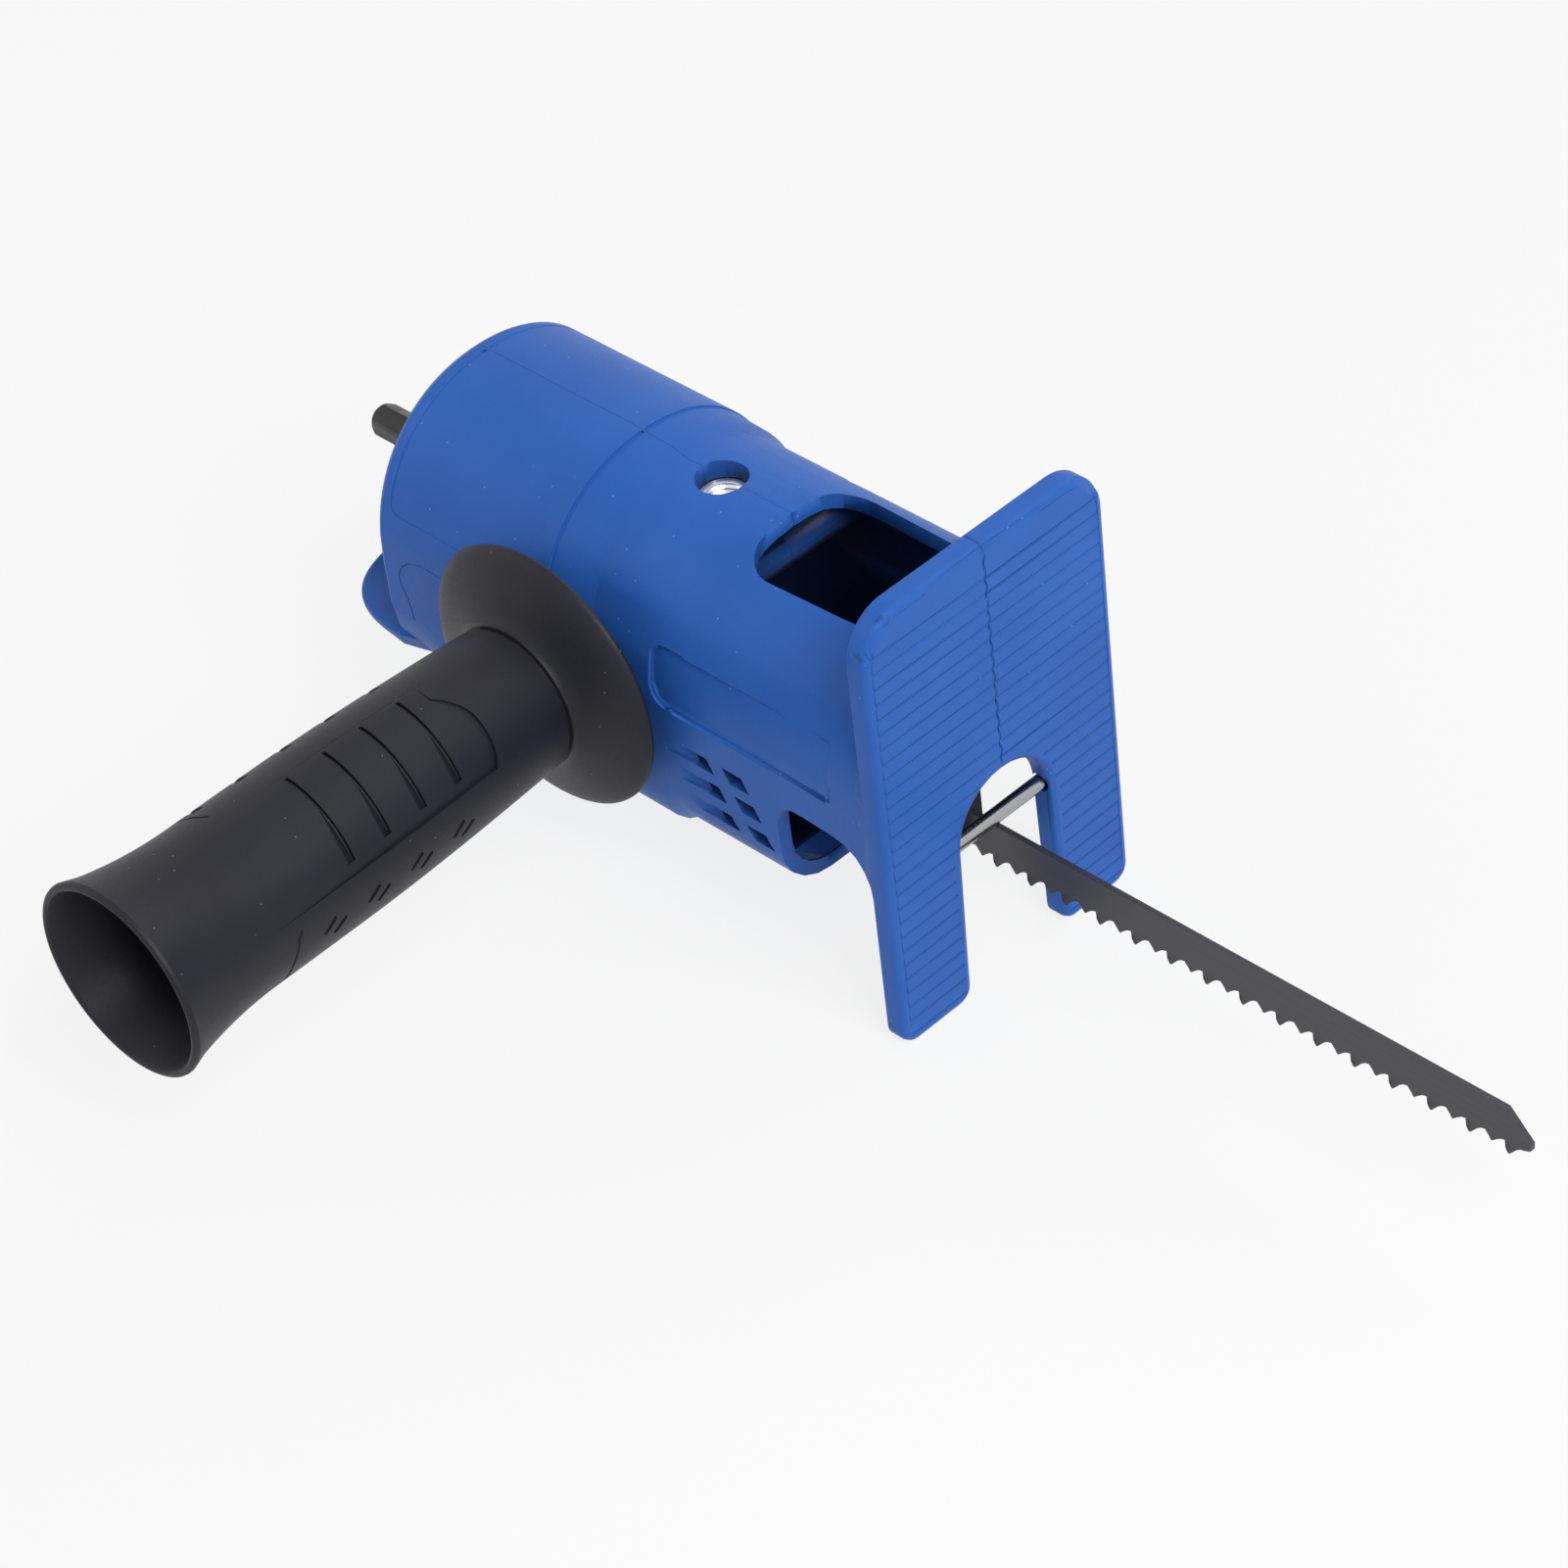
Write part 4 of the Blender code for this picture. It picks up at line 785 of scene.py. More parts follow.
def recess_end():
    """Rear end of the recess as a line: upper edge, round corner, down and round the lower corner."""
    back = RECESS_BACK - RIM
    turn = RECESS_CORNER
    spots = [(back + turn + 4, RECESS_LINE)]
    for degrees in range(90, 181, 15):
        a = math.radians(degrees)
        spots.append((back + turn * (1 + math.cos(a)), RECESS_LINE - RECESS_HIGH_CORNER * (1 - math.sin(a))))
    for degrees in range(180, 271, 15):
        a = math.radians(degrees)
        spots.append((back + turn * (1 + math.cos(a)), RECESS_BASE + turn * (1 + math.sin(a))))
    return spots


engraved = {}
for side_name, side in SIDES.items():
    half = halves[side_name]
    engraved[side_name] = [
        # points, radius in mm, and its share at the first and the last point
        (ring_panel(half, side), 0.42, 1.0, 0.4),
        (along_side(half, LOW_PANEL, side), 0.42, 0.4, 0.6),
        (round_ring(half, STEP_LINE, 0.5, 130.5, side), 0.45, 1.0, 1.0),
        (along_side(half, recess_end(), side), 0.7, 0.5, 0.9),
        (along_side(half, RIDGE, side), 0.85, 0.65, 1.0),
    ]
    print(side_name, "line points:", [len(line[0]) for line in engraved[side_name]])

# %% [markdown]
# ### Cutting the lines
#
# A line is a thin tube that lies half in the skin: a curve with a bevel, made a mesh and cut out by a boolean.
# The caps of such a tube are loose, so its doubles are merged to close it. The manifold solver of the boolean takes
# only closed meshes, but it is quick, and it is steadier than the exact solver, which could lose half of this housing.

# %% Engrave the lines


def volume_sign(mesh):
    """Below zero where the faces of a closed mesh look inwards."""
    mesh.calc_loop_triangles()
    start = mesh.vertices[0].co
    corners = [[mesh.vertices[v].co - start for v in triangle.vertices] for triangle in mesh.loop_triangles]
    return sum(a.dot(b.cross(c)) for a, b, c in corners)


def clean_up(piece):
    """Merges doubles and turns all faces outwards. The tool for that can miss on a thin piece, so it is checked."""
    edit(piece)
    bpy.ops.mesh.remove_doubles(threshold=1e-7)
    bpy.ops.mesh.normals_make_consistent(inside=False)
    leave_edit()
    if volume_sign(piece.data) < 0:
        edit(piece)
        bpy.ops.mesh.flip_normals()
        leave_edit()


def tube(points, radius, first=1.0, last=1.0):
    """Closed tube along points, drawn as a curve and made a mesh. Its radius goes from a first to a last share."""
    bpy.ops.object.select_all(action="DESELECT")
    bpy.ops.curve.primitive_bezier_curve_add()
    line = bpy.context.object
    line.data.splines.clear()
    spline = line.data.splines.new("POLY")
    spline.points.add(len(points) - 1)
    for number, (spot, point) in enumerate(zip(spline.points, points)):
        spot.co = (*point, 1)
        spot.radius = first + (last - first) * number / (len(points) - 1)
    line.data.bevel_depth = radius
    line.data.bevel_resolution = 1
    line.data.use_fill_caps = True
    bpy.ops.object.convert(target="MESH")
    clean_up(bpy.context.object)
    return bpy.context.object


def combine(piece, tool, operation="DIFFERENCE"):
    """Boolean of a piece with a closed tool, which is used up."""
    only(piece)
    bpy.ops.object.modifier_add(type="BOOLEAN")
    change = piece.modifiers[-1]
    change.operation = operation
    change.solver = "MANIFOLD"
    change.object = tool
    bpy.ops.object.modifier_apply(modifier=change.name)
    bpy.data.objects.remove(tool, do_unlink=True)


for side_name, half in halves.items():
    for points, radius, first, last in engraved[side_name]:
        combine(half, tube(points, radius * mm, first, last))
    print(side_name, "faces with lines:", len(half.data.polygons))

# %% [markdown]
# ### Ribs of the shoe
#
# The face of the shoe is ribbed so that it grips the work. Each rib ends in a small step, steep above and gentle
# below, which runs from the seam to the rounded edge. One three cornered section is drawn, filled and extruded for
# each step, and all of them are joined to one tool, so that one boolean cuts them.

# %% Ribs
RIB_TOP = 40.17
RIB_LAST = -48.5
RIB_PITCH = 3.4
RIB_SECTION = ((0.4, 0.2), (-0.5, 0.0), (0.4, -1.15))       # out of the face, and height
RIB_END = 29.1
NOTCH_EDGE = 1.5            # width of the rounded edge of the notch
LEG_SPREAD = 0.9            # by which the notch is wider between the legs


def rib_start(height):
    """Where a rib begins: on the seam, or beside the notch."""
    if height > NOTCH_TOP + NOTCH_EDGE:
        return 0.0
    drop = NOTCH_MIDDLE - height - RIB_SECTION[2][1]
    arch = math.sqrt(max(0.0, NOTCH_HALF ** 2 - drop ** 2)) if drop < 0 else NOTCH_HALF + LEG_SPREAD
    return arch + NOTCH_EDGE


def draw(points):
    """Chain of vertices, extruded one after the other."""
    bpy.ops.object.select_all(action="DESELECT")
    bpy.ops.mesh.primitive_plane_add(size=mm)
    piece = bpy.context.object
    edit(piece)
    bpy.ops.mesh.merge(type="CENTER")
    bpy.ops.transform.translate(value=points[0])
    for before, after in zip(points, points[1:]):
        bpy.ops.mesh.extrude_vertices_move(TRANSFORM_OT_translate={"value": Vector(after) - Vector(before)})
    leave_edit()
    return piece


def extrude_outline(points, way):
    """Closed solid from an outline, filled and extruded."""
    piece = draw(points)
    edit(piece)
    bpy.ops.mesh.edge_face_add()
    bpy.ops.mesh.extrude_region_move(TRANSFORM_OT_translate={"value": way})
    leave_edit()
    clean_up(piece)
    return piece


def joined(pieces):
    only(*pieces)
    bpy.ops.object.join()
    return bpy.context.object


def rib_tool(side):
    ribs = []
    height = RIB_TOP
    while height > RIB_LAST:
        start = rib_start(height)
        section = [Vector((SHOE_FRONT + out, side * start, height + up)) * mm for out, up in RIB_SECTION]
        ribs.append(extrude_outline(section, (0, side * (RIB_END - start) * mm, 0)))
        height -= RIB_PITCH
    return joined(ribs)


for side_name, side in SIDES.items():
    combine(halves[side_name], rib_tool(side))
    print(side_name, "faces with ribs:", len(halves[side_name].data.polygons))

# %% [markdown]
# ### Seam and edge line of the shoe
#
# The ribs of the two halves don't quite meet, so on the shoe the seam shows as a jagged line, and a finer line runs
# along the outer edge, where the ribs end. Both are tubes again, one bent from rib to rib and one round the corner.

# %% Lines on the shoe
SHOE_TOP = 47.4
SEAM_SWAY = 0.2
SEAM_R = 0.3
EDGE_IN = 0.35              # from the rounded edge to the line
EDGE_R = 0.17
EDGE_RUN = 6.0              # length of the line along the top, before the corner


def seam_tool():
    """Thin tube over the top of the shoe and down its face, swaying from rib to rib."""
    points = [Vector((SHOE_BACK - 0.5, 0, SHOE_TOP)), Vector((SHOE_FRONT - 1.0, 0, SHOE_TOP)),
              Vector((SHOE_FRONT, 0, SHOE_TOP - 1.0))]
    steps = int((SHOE_TOP - NOTCH_TOP) / (RIB_PITCH / 2))
    for step in range(1, steps + 1):
        sway = SEAM_SWAY if step % 2 else -SEAM_SWAY
        points.append(Vector((SHOE_FRONT, sway, SHOE_TOP - 1.0 - step * RIB_PITCH / 2)))
    return tube([point * mm for point in points], SEAM_R * mm)


def edge_line_tool(side):
    """Fine line where the ribs end, round the upper corner and down the side."""
    middle, height, radius, way = SHOE_ARCS[0]
    reach = radius - SHOE_EDGES[-1][1] - EDGE_IN
    points = [Vector((SHOE_FRONT, side * (middle - EDGE_RUN), height + reach))]
    for degrees in range(90, -1, -10):
        a = math.radians(degrees)
        points.append(Vector((SHOE_FRONT, side * (middle + reach * math.cos(a)), height + reach * math.sin(a))))
    points.append(Vector((SHOE_FRONT, side * (middle + reach), RIB_LAST + 2)))
    return tube([point * mm for point in points], EDGE_R * mm)


for side_name, side in SIDES.items():
    combine(halves[side_name], seam_tool())
    combine(halves[side_name], edge_line_tool(side))
    print(side_name, "faces with a lined shoe:", len(halves[side_name].data.polygons))

# %% [markdown]
# ### Ramps behind the vents
#
# Two columns of slanted vents go through each wall, and a third one behind them is only a shallow ramp for each row.
# A ramp is a wedge, drawn as seen from above and extruded down at the slant of the vents.

# %% Vent ramps
RAMP_START = 108.6
RAMP_TOP = -6.9
RAMP_LENGTH = 7.6
RAMP_DEPTH = 1.3
RAMP_FALL = Vector((1.6, 0, -2.8))
ROW_STEP = Vector((2.5, 0, -5.6))
ROWS = 3


def ramp_tool(side):
    corners = ((0.0, 0.05), (RAMP_LENGTH, -RAMP_DEPTH), (RAMP_LENGTH, 1.0), (0.0, 1.0))
    ramps = []
    for row in range(ROWS):
        corner = Vector((RAMP_START, 0, RAMP_TOP)) + ROW_STEP * row
        outline = [(corner + Vector((along, side * (CROWN_HALF + out), 0))) * mm for along, out in corners]
        ramps.append(extrude_outline(outline, RAMP_FALL * mm))
    return joined(ramps)


for side_name, side in SIDES.items():
    combine(halves[side_name], ramp_tool(side))
print("vent ramps on each side:", ROWS)

# %% [markdown]
# ### Smooth skin after the cuts
#
# A cut leaves long thin faces, and their corners would shade the round barrel in streaks. So each corner that still
# lies on the old skin takes its normal from a copy made before the cuts, and the walls of the cuts keep their own.

# %% Normals from the plain skin
SAME_SKIN = math.cos(math.radians(18.0))
CORNER_IN = 0.02        # share of the way from a corner to its face's middle where the guide is read


def borrow_normals(piece, guide):
    """Corner normals of a plain guide for all faces of a piece that still lie on it. The guide is used up."""
    plain = guide.data
    plain.calc_loop_triangles()
    triangles = [(tuple(t.vertices), tuple(t.loops)) for t in plain.loop_triangles]
    tree = BVHTree.FromPolygons([v.co for v in plain.vertices], [corners for corners, loops in triangles])
    mesh = piece.data
    normals = [corner.vector.copy() for corner in mesh.corner_normals]
    borrowed = 0
    for face in mesh.polygons:
        for loop in face.loop_indices:
            spot = mesh.vertices[mesh.loops[loop].vertex_index].co
            inner = spot.lerp(face.center, CORNER_IN)
            near, way, index, distance = tree.find_nearest(inner)
            corners, loops = triangles[index]
            places = [plain.vertices[corner].co for corner in corners]
            ways = [plain.corner_normals[corner].vector for corner in loops]
            normal = barycentric_transform(near, *places, *ways)
            if normal.length > 0 and normal.normalized().dot(face.normal) > SAME_SKIN:
                normals[loop] = normal.normalized()
                borrowed += 1
    mesh.normals_split_custom_set(normals)
    bpy.data.objects.remove(guide, do_unlink=True)
    return borrowed


for side_name, half in halves.items():
    dress(half, "housing_" + side_name, angle=HOUSING_ANGLE)
    count = borrow_normals(half, guides[side_name])
    print(half.name, "borrowed corners:", count, "of", len(half.data.loops))

# %% [markdown]
# ### Painted shade inside
#
# Little light gets into the housing, so its inside lies in shade, and that shade is painted into the colour. Rays leave
# the corners of each face in many directions, and the more of them hit the housing again, the more that corner is
# marked as shut in. The plastic reads that mark and turns dark there, as painted shade.

# %% Mark the corners inside for painted shade
RAYS = 40
OPEN_SHARE = 0.52           # share of rays that hit the housing where it begins to turn dark
SHUT_SHARE = 0.8
GOLDEN = math.pi * (3 - math.sqrt(5))


def even_directions(count):
    """Directions spread evenly over a ball, on a spiral."""
    ways = []
    for number in range(count):
        z = 1 - (2 * number + 1) / count
        ring = math.sqrt(1 - z * z)
        ways.append(Vector((ring * math.cos(GOLDEN * number), ring * math.sin(GOLDEN * number), z)))
    return ways


def tree_of(mesh):
    return BVHTree.FromPolygons([v.co for v in mesh.vertices], [tuple(f.vertices) for f in mesh.polygons])


def mark_painted_shade(pieces):
    """Corner attribute from 0 in the open to 1 deep inside, by the share of rays that hit any of the pieces, read as
    painted shade.
    """
    trees = [tree_of(piece.data) for piece in pieces]
    ways = even_directions(RAYS)
    for piece in pieces:
        mark = piece.data.attributes.new("painted_shade", "FLOAT", "CORNER")
        for face in piece.data.polygons:
            leaving = [way for way in ways if way.dot(face.normal) > 0.1]
            for loop in face.loop_indices:
                corner = piece.data.vertices[piece.data.loops[loop].vertex_index].co
                start = corner.lerp(face.center, 0.1) + face.normal * 0.1 * mm
                caught = sum(any(tree.ray_cast(start, way)[0] for tree in trees) for way in leaving) / len(leaving)
                mark.data[loop].value = min(1.0, max(0.0, (caught - OPEN_SHARE) / (SHUT_SHARE - OPEN_SHARE)))
        print(piece.name, "corners shut in:", sum(spot.value > 0.5 for spot in mark.data), "of", len(mark.data))


mark_painted_shade(list(halves.values()))

# %% [markdown]
# ## Side handle
#
# The handle is a charcoal moulding turned about its own axis: a hub, a wide flange, a grip and a flared open mouth.
# Its profile is drawn point by point, as with the extrude key, and spun. It is made along the Y axis first,
# with its grip pattern, and leans forward by about a degree at the end, as the real one does on its nut.

# %% Handle profile
HANDLE_X = 85.5
HANDLE_PIVOT = Vector((HANDLE_X, -23.25, 0)) * mm      # middle of the nut, about which the handle leans
HANDLE_LEAN = math.radians(1.1)
SEAT = 31.81            # places along the handle, from the drive axis
FLANGE_RIM = 35.81
NECK = 43.41
BORE_END = 59.81
FULL_GRIP = 98.2        # the grip reaches its radius here
FLARE_START = 117.41
MOUTH = 141.41
BOLT_HOLE = 4.3         # radii
NECK_R = 15.0
GRIP_R = 17.0
MOUTH_R = 20.3
FLANGE_R = 27.9
TURNS = 144


def on_handle(place, radius, angle=0.0):
    """Point by distance along the handle, radius and angle from +X up to +Z, in metres."""
    turn = math.radians(angle)
    return Vector((HANDLE_X + radius * math.cos(turn), -place, radius * math.sin(turn))) * mm


def grip_radius(place):
    """Outer radius of the grip between the neck and the mouth."""
    if place < FULL_GRIP:
        share = (place - NECK) / (FULL_GRIP - NECK)
        return NECK_R + (GRIP_R - NECK_R) * math.sin(share * math.pi / 2)
    share = max(0.0, (place - FLARE_START) / (MOUTH - FLARE_START))
    return GRIP_R + (MOUTH_R - GRIP_R) * share ** 2


def handle_profile():
    """Closed profile as (place, radius): hub, flange, neck, grip, mouth and bore."""
    points = [(SEAT, BOLT_HOLE), (SEAT, 11.0), (SEAT + 1.1, 12.1), (FLANGE_RIM - 1.3, 25.4), (FLANGE_RIM - 1.0, 26.9),
              (FLANGE_RIM - 0.5, 27.7), (FLANGE_RIM, FLANGE_R), (FLANGE_RIM + 0.5, FLANGE_R - 0.1)]
    for step in range(2, 16):
        share = step / 16
        swing = (1 + math.cos(math.pi * share)) / 2
        points.append((FLANGE_RIM + (NECK - FLANGE_RIM) * share, NECK_R + (FLANGE_R - NECK_R) * swing))
    points += [(NECK, NECK_R), (NECK + 0.2, NECK_R - 0.8), (NECK + 0.9, NECK_R - 0.8), (NECK + 1.2, NECK_R)]
    points += [(place, grip_radius(place)) for place in range(47, 140, 3)]
    lip = [(-1.0, 0.0), (-0.4, -0.15), (-0.1, -0.5), (0.0, -1.0), (-0.2, -1.5), (-0.8, -1.9), (-3.0, -2.5)]
    points += [(MOUTH + along, MOUTH_R + out) for along, out in lip]
    points += [(place, grip_radius(place) - 3.2) for place in (134, 128, 122, 116)]
    points += [(100, 13.4), (73.81, 11.8), (BORE_END, 11.2), (BORE_END, BOLT_HOLE)]
    return points


profile = handle_profile()
handle = draw([on_handle(place, radius) for place, radius in profile + profile[:1]])
handle.name = "handle_grip_look"
edit(handle)
bpy.ops.mesh.spin(steps=TURNS, angle=2 * math.pi, center=(HANDLE_X * mm, 0, 0), axis=(0, 1, 0))
leave_edit()
clean_up(handle)
print("handle faces:", len(handle.data.polygons))

# %% [markdown]
# ### Grip pattern
#
# Two sides of the grip have a sunk panel with an arched end. A flat cutter would dig too deep in the middle of a round
# grip, so the panel is drawn as an outline and spun through a part of a turn. Then its vertices move a little: its
# front edge bends to an arch, and its floor comes up to nothing on one side. A boolean cuts it from the handle.

# %% Sunk panels
PANEL_MIDDLES = (53.0, 233.0)
PANEL_HALF = 40.5
PANEL_START = 61.2
PANEL_END = 118.0
PANEL_FADE = 30.0           # length over which the panel runs out
PANEL_SINK = 0.8
ARCH_TOP = -8.0             # angle from the panel's middle where the arch comes nearest to the flange
ARCH_REACH = 12.0
ARCH_DROPS = (9.0, 4.5)     # how far the arch falls back on its lower and its upper side
OUTSIDE = 24.0              # radius clear of the grip


def arc_tool(outline, middle, half, steps):
    """Closed outline on the handle, spun through a part of a turn to both sides of a middle angle."""
    piece = draw([on_handle(place, radius, middle - half) for place, radius in outline])
    edit(piece)
    bpy.ops.mesh.edge_face_add()
    bpy.ops.mesh.spin(steps=steps, angle=math.radians(2 * half), center=(HANDLE_X * mm, 0, 0), axis=(0, 1, 0))
    leave_edit()
    clean_up(piece)
    edit(piece, "DESELECT")
    bpy.ops.mesh.select_non_manifold()
    bpy.ops.mesh.edge_face_add()
    leave_edit()
    clean_up(piece)
    return piece


def angle_of(point):
    return math.degrees(math.atan2(point.z, point.x - HANDLE_X * mm))


def panel_depth(place):
    return PANEL_SINK * min(1.0, (PANEL_END - place) / PANEL_FADE)


def arch_shift(turn):
    """How far the panel's front edge draws back at an angle from the panel's middle: an uneven arch."""
    share = min(1.0, abs(turn - ARCH_TOP) / (PANEL_HALF - math.copysign(ARCH_TOP, turn - ARCH_TOP)))
    lower, upper = ARCH_DROPS
    return lower * (1 - math.sqrt(1 - share ** 3)) if turn < ARCH_TOP else upper * share ** 2


def panel_share(turn):
    """Share of the panel's depth at an angle from its middle, which runs out on the upper side."""
    return min(1.0, max(0.04, (PANEL_HALF - 4 - turn) / PANEL_HALF))


def turn_from(point, middle):
    return (angle_of(point) - middle + 180) % 360 - 180


def panel_tool(middle):
    """Sunk panel whose front edge is bent to an arch, and whose floor runs out to the mouth and on the upper side."""
    places = [PANEL_START + (PANEL_END - PANEL_START) * step / 14 for step in range(15)]
    sunk = [(place, grip_radius(place) - panel_depth(place)) for place in places]
    piece = arc_tool(sunk + [(PANEL_END, OUTSIDE), (PANEL_START, OUTSIDE)], middle, PANEL_HALF, 40)
    for vertex in piece.data.vertices:
        turn = turn_from(vertex.co, middle)
        place = -vertex.co.y / mm
        on_floor = math.hypot(vertex.co.x / mm - HANDLE_X, vertex.co.z / mm) < OUTSIDE - 1
        place += arch_shift(turn) * max(0.0, 1 - (place - PANEL_START) / ARCH_REACH)
        radius = grip_radius(place) - panel_depth(place) * panel_share(turn) if on_floor else OUTSIDE
        vertex.co = on_handle(place, radius, middle + turn)
    return piece


for middle in PANEL_MIDDLES:
    combine(handle, panel_tool(middle))
print("handle faces with panels:", len(handle.data.polygons))

# %% [markdown]
# ### Grooves
#
# Four grooves run across each panel, so that the fingers don't slip along the grip. Each has one steep side and widens
# towards its lower end. They are spun as the panels are, and the vertices of the gentle side move to give the width.

# %% Grooves
GROOVES = [70.2 + 9.0 * step for step in range(4)]
GROOVE_HALF = 35.0
GROOVE_TURN = 2.5           # middle of a groove, from that of the panel
GROOVE_NARROW = 0.7         # width of its upper half, and at its lower end
GROOVE_WIDE = 2.2
GROOVE_SINK = 0.85


def push_out(vertex, distance):
    """Moves a vertex away from the handle's axis."""
    out = Vector((vertex.co.x - HANDLE_X * mm, 0, vertex.co.z)).normalized()
    vertex.co += out * distance


def groove_tool(place, middle):
    """Groove with one steep side, towards the flange, that widens from the middle to its lower end."""
    floor_r = grip_radius(place) - panel_depth(place) - GROOVE_SINK
    outline = [(place, OUTSIDE), (place, floor_r), (place + 0.3, floor_r - 0.05),
               (place + 1, floor_r + GROOVE_SINK), (place + 1.3, OUTSIDE)]
    piece = arc_tool(outline, middle + GROOVE_TURN, GROOVE_HALF, 36)
    for vertex in piece.data.vertices:
        turn = turn_from(vertex.co, middle)
        wide = min(1.0, max(0.0, -turn / GROOVE_HALF * 1.4 + 0.3))
        beyond = -vertex.co.y / mm - place - 0.3
        if beyond > 0.1:
            vertex.co.y -= beyond * (GROOVE_NARROW + (GROOVE_WIDE - GROOVE_NARROW) * wide - 1) * mm
        push_out(vertex, panel_depth(place) * (1 - panel_share(turn)) * mm)
    return piece


for middle in PANEL_MIDDLES:
    for place in GROOVES:
        combine(handle, groove_tool(place, middle))
print("handle faces with grooves:", len(handle.data.polygons))

# %% [markdown]
# ### Slots
#
# The two sides between the panels have rows of short slanted slots along one flank, in pairs. A slot is a block with
# rounded ends, modelled once. Each copy is laid on the grip at a slant, and a boolean cuts all of them out.

# %% Slots
SLOT_LENGTH = 3.9
SLOT_WIDTH = 1.1
SLOT_SINK = 0.8
SLOT_BLOCK = 4.0                            # height of the block that cuts a slot
SLOT_SLANT = math.radians(42.0)
SLOT_ROWS = [70.6 + 10.7 * step for step in range(4)]
SLOT_PAIR = ((1.2, 22.2), (3.6, 27.7))      # place in the row and angle from the side's middle, of both slots of a pair
SLOT_SIDES = (-37.0, 143.0)                 # middles of the two slotted sides


def slot_block():
    """Upright block with round ends, its middle at the origin."""
    bpy.ops.object.select_all(action="DESELECT")
    bpy.ops.mesh.primitive_cube_add(size=1)
    block = bpy.context.object
    edit(block)
    bpy.ops.transform.resize(value=(SLOT_LENGTH * mm, SLOT_WIDTH * mm, SLOT_BLOCK * mm))
    bpy.ops.mesh.select_mode(type="EDGE")
    leave_edit()
    for edge in block.data.edges:
        low, high = (block.data.vertices[v].co for v in edge.vertices)
        edge.select = abs(low.z - high.z) > mm
    bpy.ops.object.mode_set(mode="EDIT")
    bpy.ops.mesh.bevel(offset=SLOT_WIDTH * 0.49 * mm, segments=5, affect="EDGES")
    leave_edit()
    return block


def slot_at(block, place, angle, slant):
    """Copy of the block, sunk into the grip at a place and angle, its length slanted against the handle."""
    turn = math.radians(angle)
    out = Vector((math.cos(turn), 0, math.sin(turn)))
    along = Vector((0, -1, 0))
    across = out.cross(along)
    length = along * math.cos(slant) + across * math.sin(slant)
    copy = block.copy()
    copy.data = block.data.copy()
    bpy.context.collection.objects.link(copy)
    stand = Matrix((length, out.cross(length), out)).transposed().to_4x4()
    stand.translation = on_handle(place, grip_radius(place) - SLOT_SINK + SLOT_BLOCK / 2, angle)
    copy.matrix_world = stand
    return copy


block = slot_block()
slots = []
for side in SLOT_SIDES:
    for row in SLOT_ROWS:
        for step, turn in SLOT_PAIR:
            slots.append(slot_at(block, row + step, side + turn, SLOT_SLANT))
bpy.data.objects.remove(block, do_unlink=True)
combine(handle, joined(slots))
print("slots:", len(slots), "handle faces:", len(handle.data.polygons))

# %% [markdown]
# ### Ends and gaps of the slotted sides
#
# Towards the mouth each slotted side ends in a fine bent line, cut by a thin tube. Gaps across the middle of the
# upper side part it into pads, which can be seen against the light along the upper edge of the handle.

# %% End lines and gaps
END_LINE = ((112.7, 40.0), (113.7, 34.5), (114.2, 26.0), (115.0, 18.4), (115.7, 8.0), (115.9, 0.0))   # place, angle
GAP_ROWS = [67.4 + 10.7 * step for step in range(5)]
GAP_WIDTH = 2.4
GAP_HALF = 23.0
GAP_SINK = 0.75
END_R = 0.35

for side in SLOT_SIDES:
    spots = [(place, side + turn) for place, turn in END_LINE]
    spots += [(place, side - turn) for place, turn in reversed(END_LINE[:-1])]
    combine(handle, tube([on_handle(place, grip_radius(place), angle) for place, angle in spots], END_R * mm))
for place in GAP_ROWS:
    floor_r = grip_radius(place) - GAP_SINK
    outline = [(place, OUTSIDE), (place, floor_r), (place + GAP_WIDTH, floor_r), (place + GAP_WIDTH, OUTSIDE)]
    combine(handle, arc_tool(outline, SLOT_SIDES[1], GAP_HALF, 20))
print("handle faces with gaps:", len(handle.data.polygons))

# %% [markdown]
# ### Lean
#
# In the photo the handle leans forward by about a degree, as the play of its bolt lets it. The pattern was easier to
# make on a straight handle, so the finished one is turned now, about the nut. In background mode the rotate tool turns
# the other way, so its angle has a minus sign.

# %% Lean the handle
edit(handle)
bpy.ops.transform.rotate(value=-HANDLE_LEAN, orient_axis="Z", center_override=HANDLE_PIVOT)
leave_edit()
dress(handle, "handle_grip")
low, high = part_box("handle_grip")
reach = [min(v.co.y for v in handle.data.vertices), max(v.co.x for v in handle.data.vertices)]
packed = [low[1], high[0]]
print("handle end and side in mm:", [round(v / mm, 2) for v in reach], "packed:", [round(v / mm, 2) for v in packed])

# %% [markdown]
# ## Saw blade
#
# The blade is stamped from strip, ground on its teeth and dipped in a dark coat. One tooth could be copied along it
# with an Array modifier, but the strip is one piece, so its outline is drawn once round, with one tooth shape repeated
# at the pitch. It is then filled and extruded to the strip's thickness.

# %% Blade outline
BLADE_END = 136.1           # inner end, in the clamp
BLADE_TIP = 288.1
BLADE_BACK = -18.65
GULLET = -26.2
TOOTH_TIP = -28.5
BLADE_HALF = 0.6
TOOTH_PITCH = 25.4 / 6
FIRST_TOOTH = 164.03 - 2 * TOOTH_PITCH
TOOTH_COUNT = 31
TIP_SLANT = 5.2
TIP_DROP = 5.5
TOOTH_SET = 0.35
TOOTH_SHAPE = ((0.0, 0.0), (0.10, 0.55), (0.20, 0.92), (0.28, 1.0), (0.36, 0.86), (0.60, 0.38), (0.80, 0.10))


